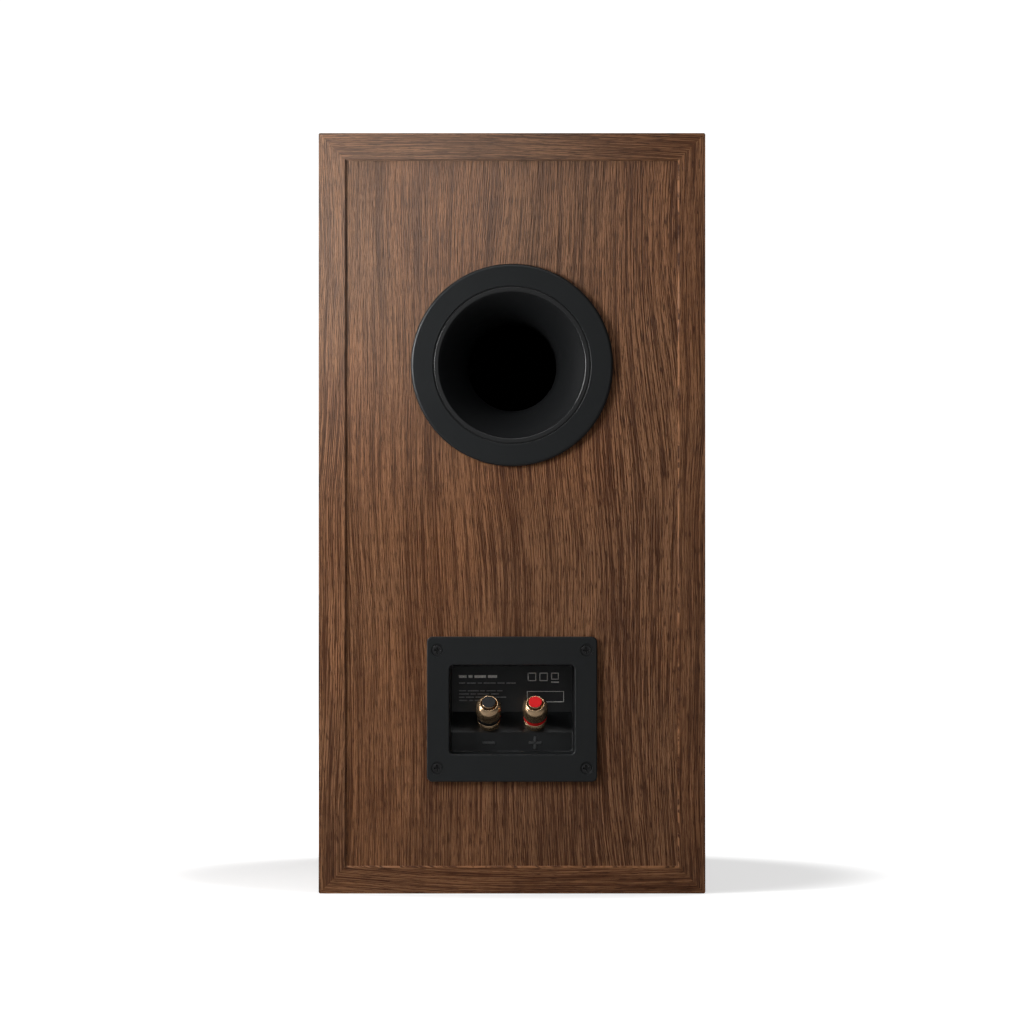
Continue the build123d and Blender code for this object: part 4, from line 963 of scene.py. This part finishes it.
# %% Side pads
def pad(centre, half, power=5.0, rows=64, columns=96):
    """Points in all directions, scaled to the soft box, times a few sine ripples of at most 4 percent."""
    polar = np.linspace(0, np.pi, rows)[:, None]
    around = np.linspace(0, 2 * np.pi, columns, endpoint=False)[None]
    level, upright = np.sin(polar), np.cos(polar) + 0 * around
    way = np.stack([level * np.cos(around), level * np.sin(around), upright], -1)
    size = (np.abs(way) ** power).sum(-1, keepdims=True) ** (-1 / power)
    bunch = 0.02 * np.sin(9 * around + 5 * polar) + 0.018 * np.cos(13 * polar - 4 * around)
    swell = 0.955 + bunch * level
    return (way * size * swell[..., None] * np.array(half) + np.array(centre)) * MM


PAD_INNER_X = 77
pad_low, pad_high = (np.array(corner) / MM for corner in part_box("side_wadding"))
half = (pad_high - pad_low) / 2
half[0] = (pad_high[0] - PAD_INNER_X) / 2
middle = (pad_low + pad_high) / 2
centres = [(side * (PAD_INNER_X + half[0]), middle[1], middle[2]) for side in (-1, 1)]
pads = surface("side_pads", [pad(centre, half) for centre in centres], (False, True))
place(pads, "cabinet", FINISHES["white_wadding"], ["side_wadding"])

# %% [markdown]
# ## Stand, light and camera
# The speaker stands on a white sweep. A small soft box close to one side of its back gives the wood its
# fall-off from light to dark. A very large, weak one behind the camera lights the whole back, two thin
# strips draw bright lines along the round edges, and two more light the front. The paper and the background
# glow to the camera alone, so that they stay white without filling in the shadows.

# %% Floor and background
def glow(tree, shader, near, far):
    """Emission that only rays from the camera see, weaker close to the object: painted shade round its foot, where
    its shadow lies.
    """
    seen = node(tree, "ShaderNodeLightPath").outputs["Is Camera Ray"]
    away = length_of(tree, object_place(tree))
    # Painted shade: the glow is weaker within about 0.25 m of the object, all round it.
    level = sum_of(tree, "MULTIPLY_ADD", between(tree, away, 0.17, 0.25), far - near, near)
    tree.links.new(sum_of(tree, "MULTIPLY", seen, level), shader.inputs["Emission Strength"])


WHITE, GREY = (1, 1, 1, 1), (0.5, 0.5, 0.5, 1)
AMBIENT, BACKDROP, FLOOR_HALF = 0.05, 1.1, 8
paper, paper_tree, paper_shader = shade("paper", Roughness=0.9, Emission_Color=WHITE, Base_Color=GREY)
glow(paper_tree, paper_shader, near=0.57, far=1.02)
mesh = bpy.data.meshes.new("floor")
floor_corners = [(x * FLOOR_HALF, y * FLOOR_HALF, 0) for x, y in ((-1, -1), (1, -1), (1, 1), (-1, 1))]
mesh.from_pydata(floor_corners, [], [(0, 1, 2, 3)])
floor = bpy.data.objects.new("floor", mesh)
floor.data.materials.append(paper)
scene = bpy.context.scene
scene.collection.objects.link(floor)

world = bpy.data.worlds.new("studio")
world.use_nodes = True
sky = world.node_tree
sky.nodes.clear()
seen = node(sky, "ShaderNodeLightPath").outputs["Is Camera Ray"]
brightness = sum_of(sky, "MULTIPLY_ADD", seen, BACKDROP - AMBIENT, AMBIENT)
background = node(sky, "ShaderNodeBackground", {"Color": WHITE, "Strength": brightness})
sky.links.new(background.outputs[0], node(sky, "ShaderNodeOutputWorld").inputs["Surface"])
scene.world = world
scene.view_settings.view_transform = "Standard"
print("floor half width", FLOOR_HALF, "m, backdrop", BACKDROP)


# %% Soft boxes
def softbox(name, at, towards, size, power):
    """A rectangular area light that faces a point, with its power in watts."""
    lamp = bpy.data.lights.new(name, "AREA")
    lamp.shape, lamp.size, lamp.size_y = "RECTANGLE", size[0], size[1]
    lamp.energy = power
    made = bpy.data.objects.new(name, lamp)
    made.location = at
    made.rotation_euler = (Vector(towards) - Vector(at)).to_track_quat("-Z", "Y").to_euler()
    scene.collection.objects.link(made)
    print(name, "at", [round(v, 2) for v in at], power, "W")


softbox("key", (0.3, rear_y + 0.2, 0.35), (0.08, rear_y, 0.28), (0.12, 0.2), 1.5)
softbox("behind_camera", (0, 4.2, 0.9), (0, rear_y, 0.2), (4.0, 3.4), 14.0)
softbox("left_strip", (0.8, 0.45, 0.12), (0, rear_y, 0.12), (0.08, 0.6), 1.7)
softbox("top_strip", (0.1, 0.55, 1.1), (0, rear_y, 0.15), (1.0, 0.08), 2.6)
softbox("front_left", (-1.0, -1.7, 1.1), (0, -0.1, 0.2), (1.2, 1.2), 15)
softbox("front_right", (1.3, -1.3, 0.8), (0, -0.1, 0.2), (1.0, 1.0), 9)

# %% Camera
DISTANCE, EYE_LEVEL, LENS, SENSOR = 3.149, 0.2072, 193.75, 36
camera_data = bpy.data.cameras.new("camera")
camera_data.lens, camera_data.sensor_width = LENS, SENSOR
camera = bpy.data.objects.new("camera", camera_data)
camera.location = (0, DISTANCE, EYE_LEVEL)
camera.rotation_euler = (np.pi / 2, 0, np.pi)
scene.collection.objects.link(camera)
scene.camera = camera
print("camera at", tuple(round(v, 4) for v in camera.location), "lens", round(camera_data.lens, 2))
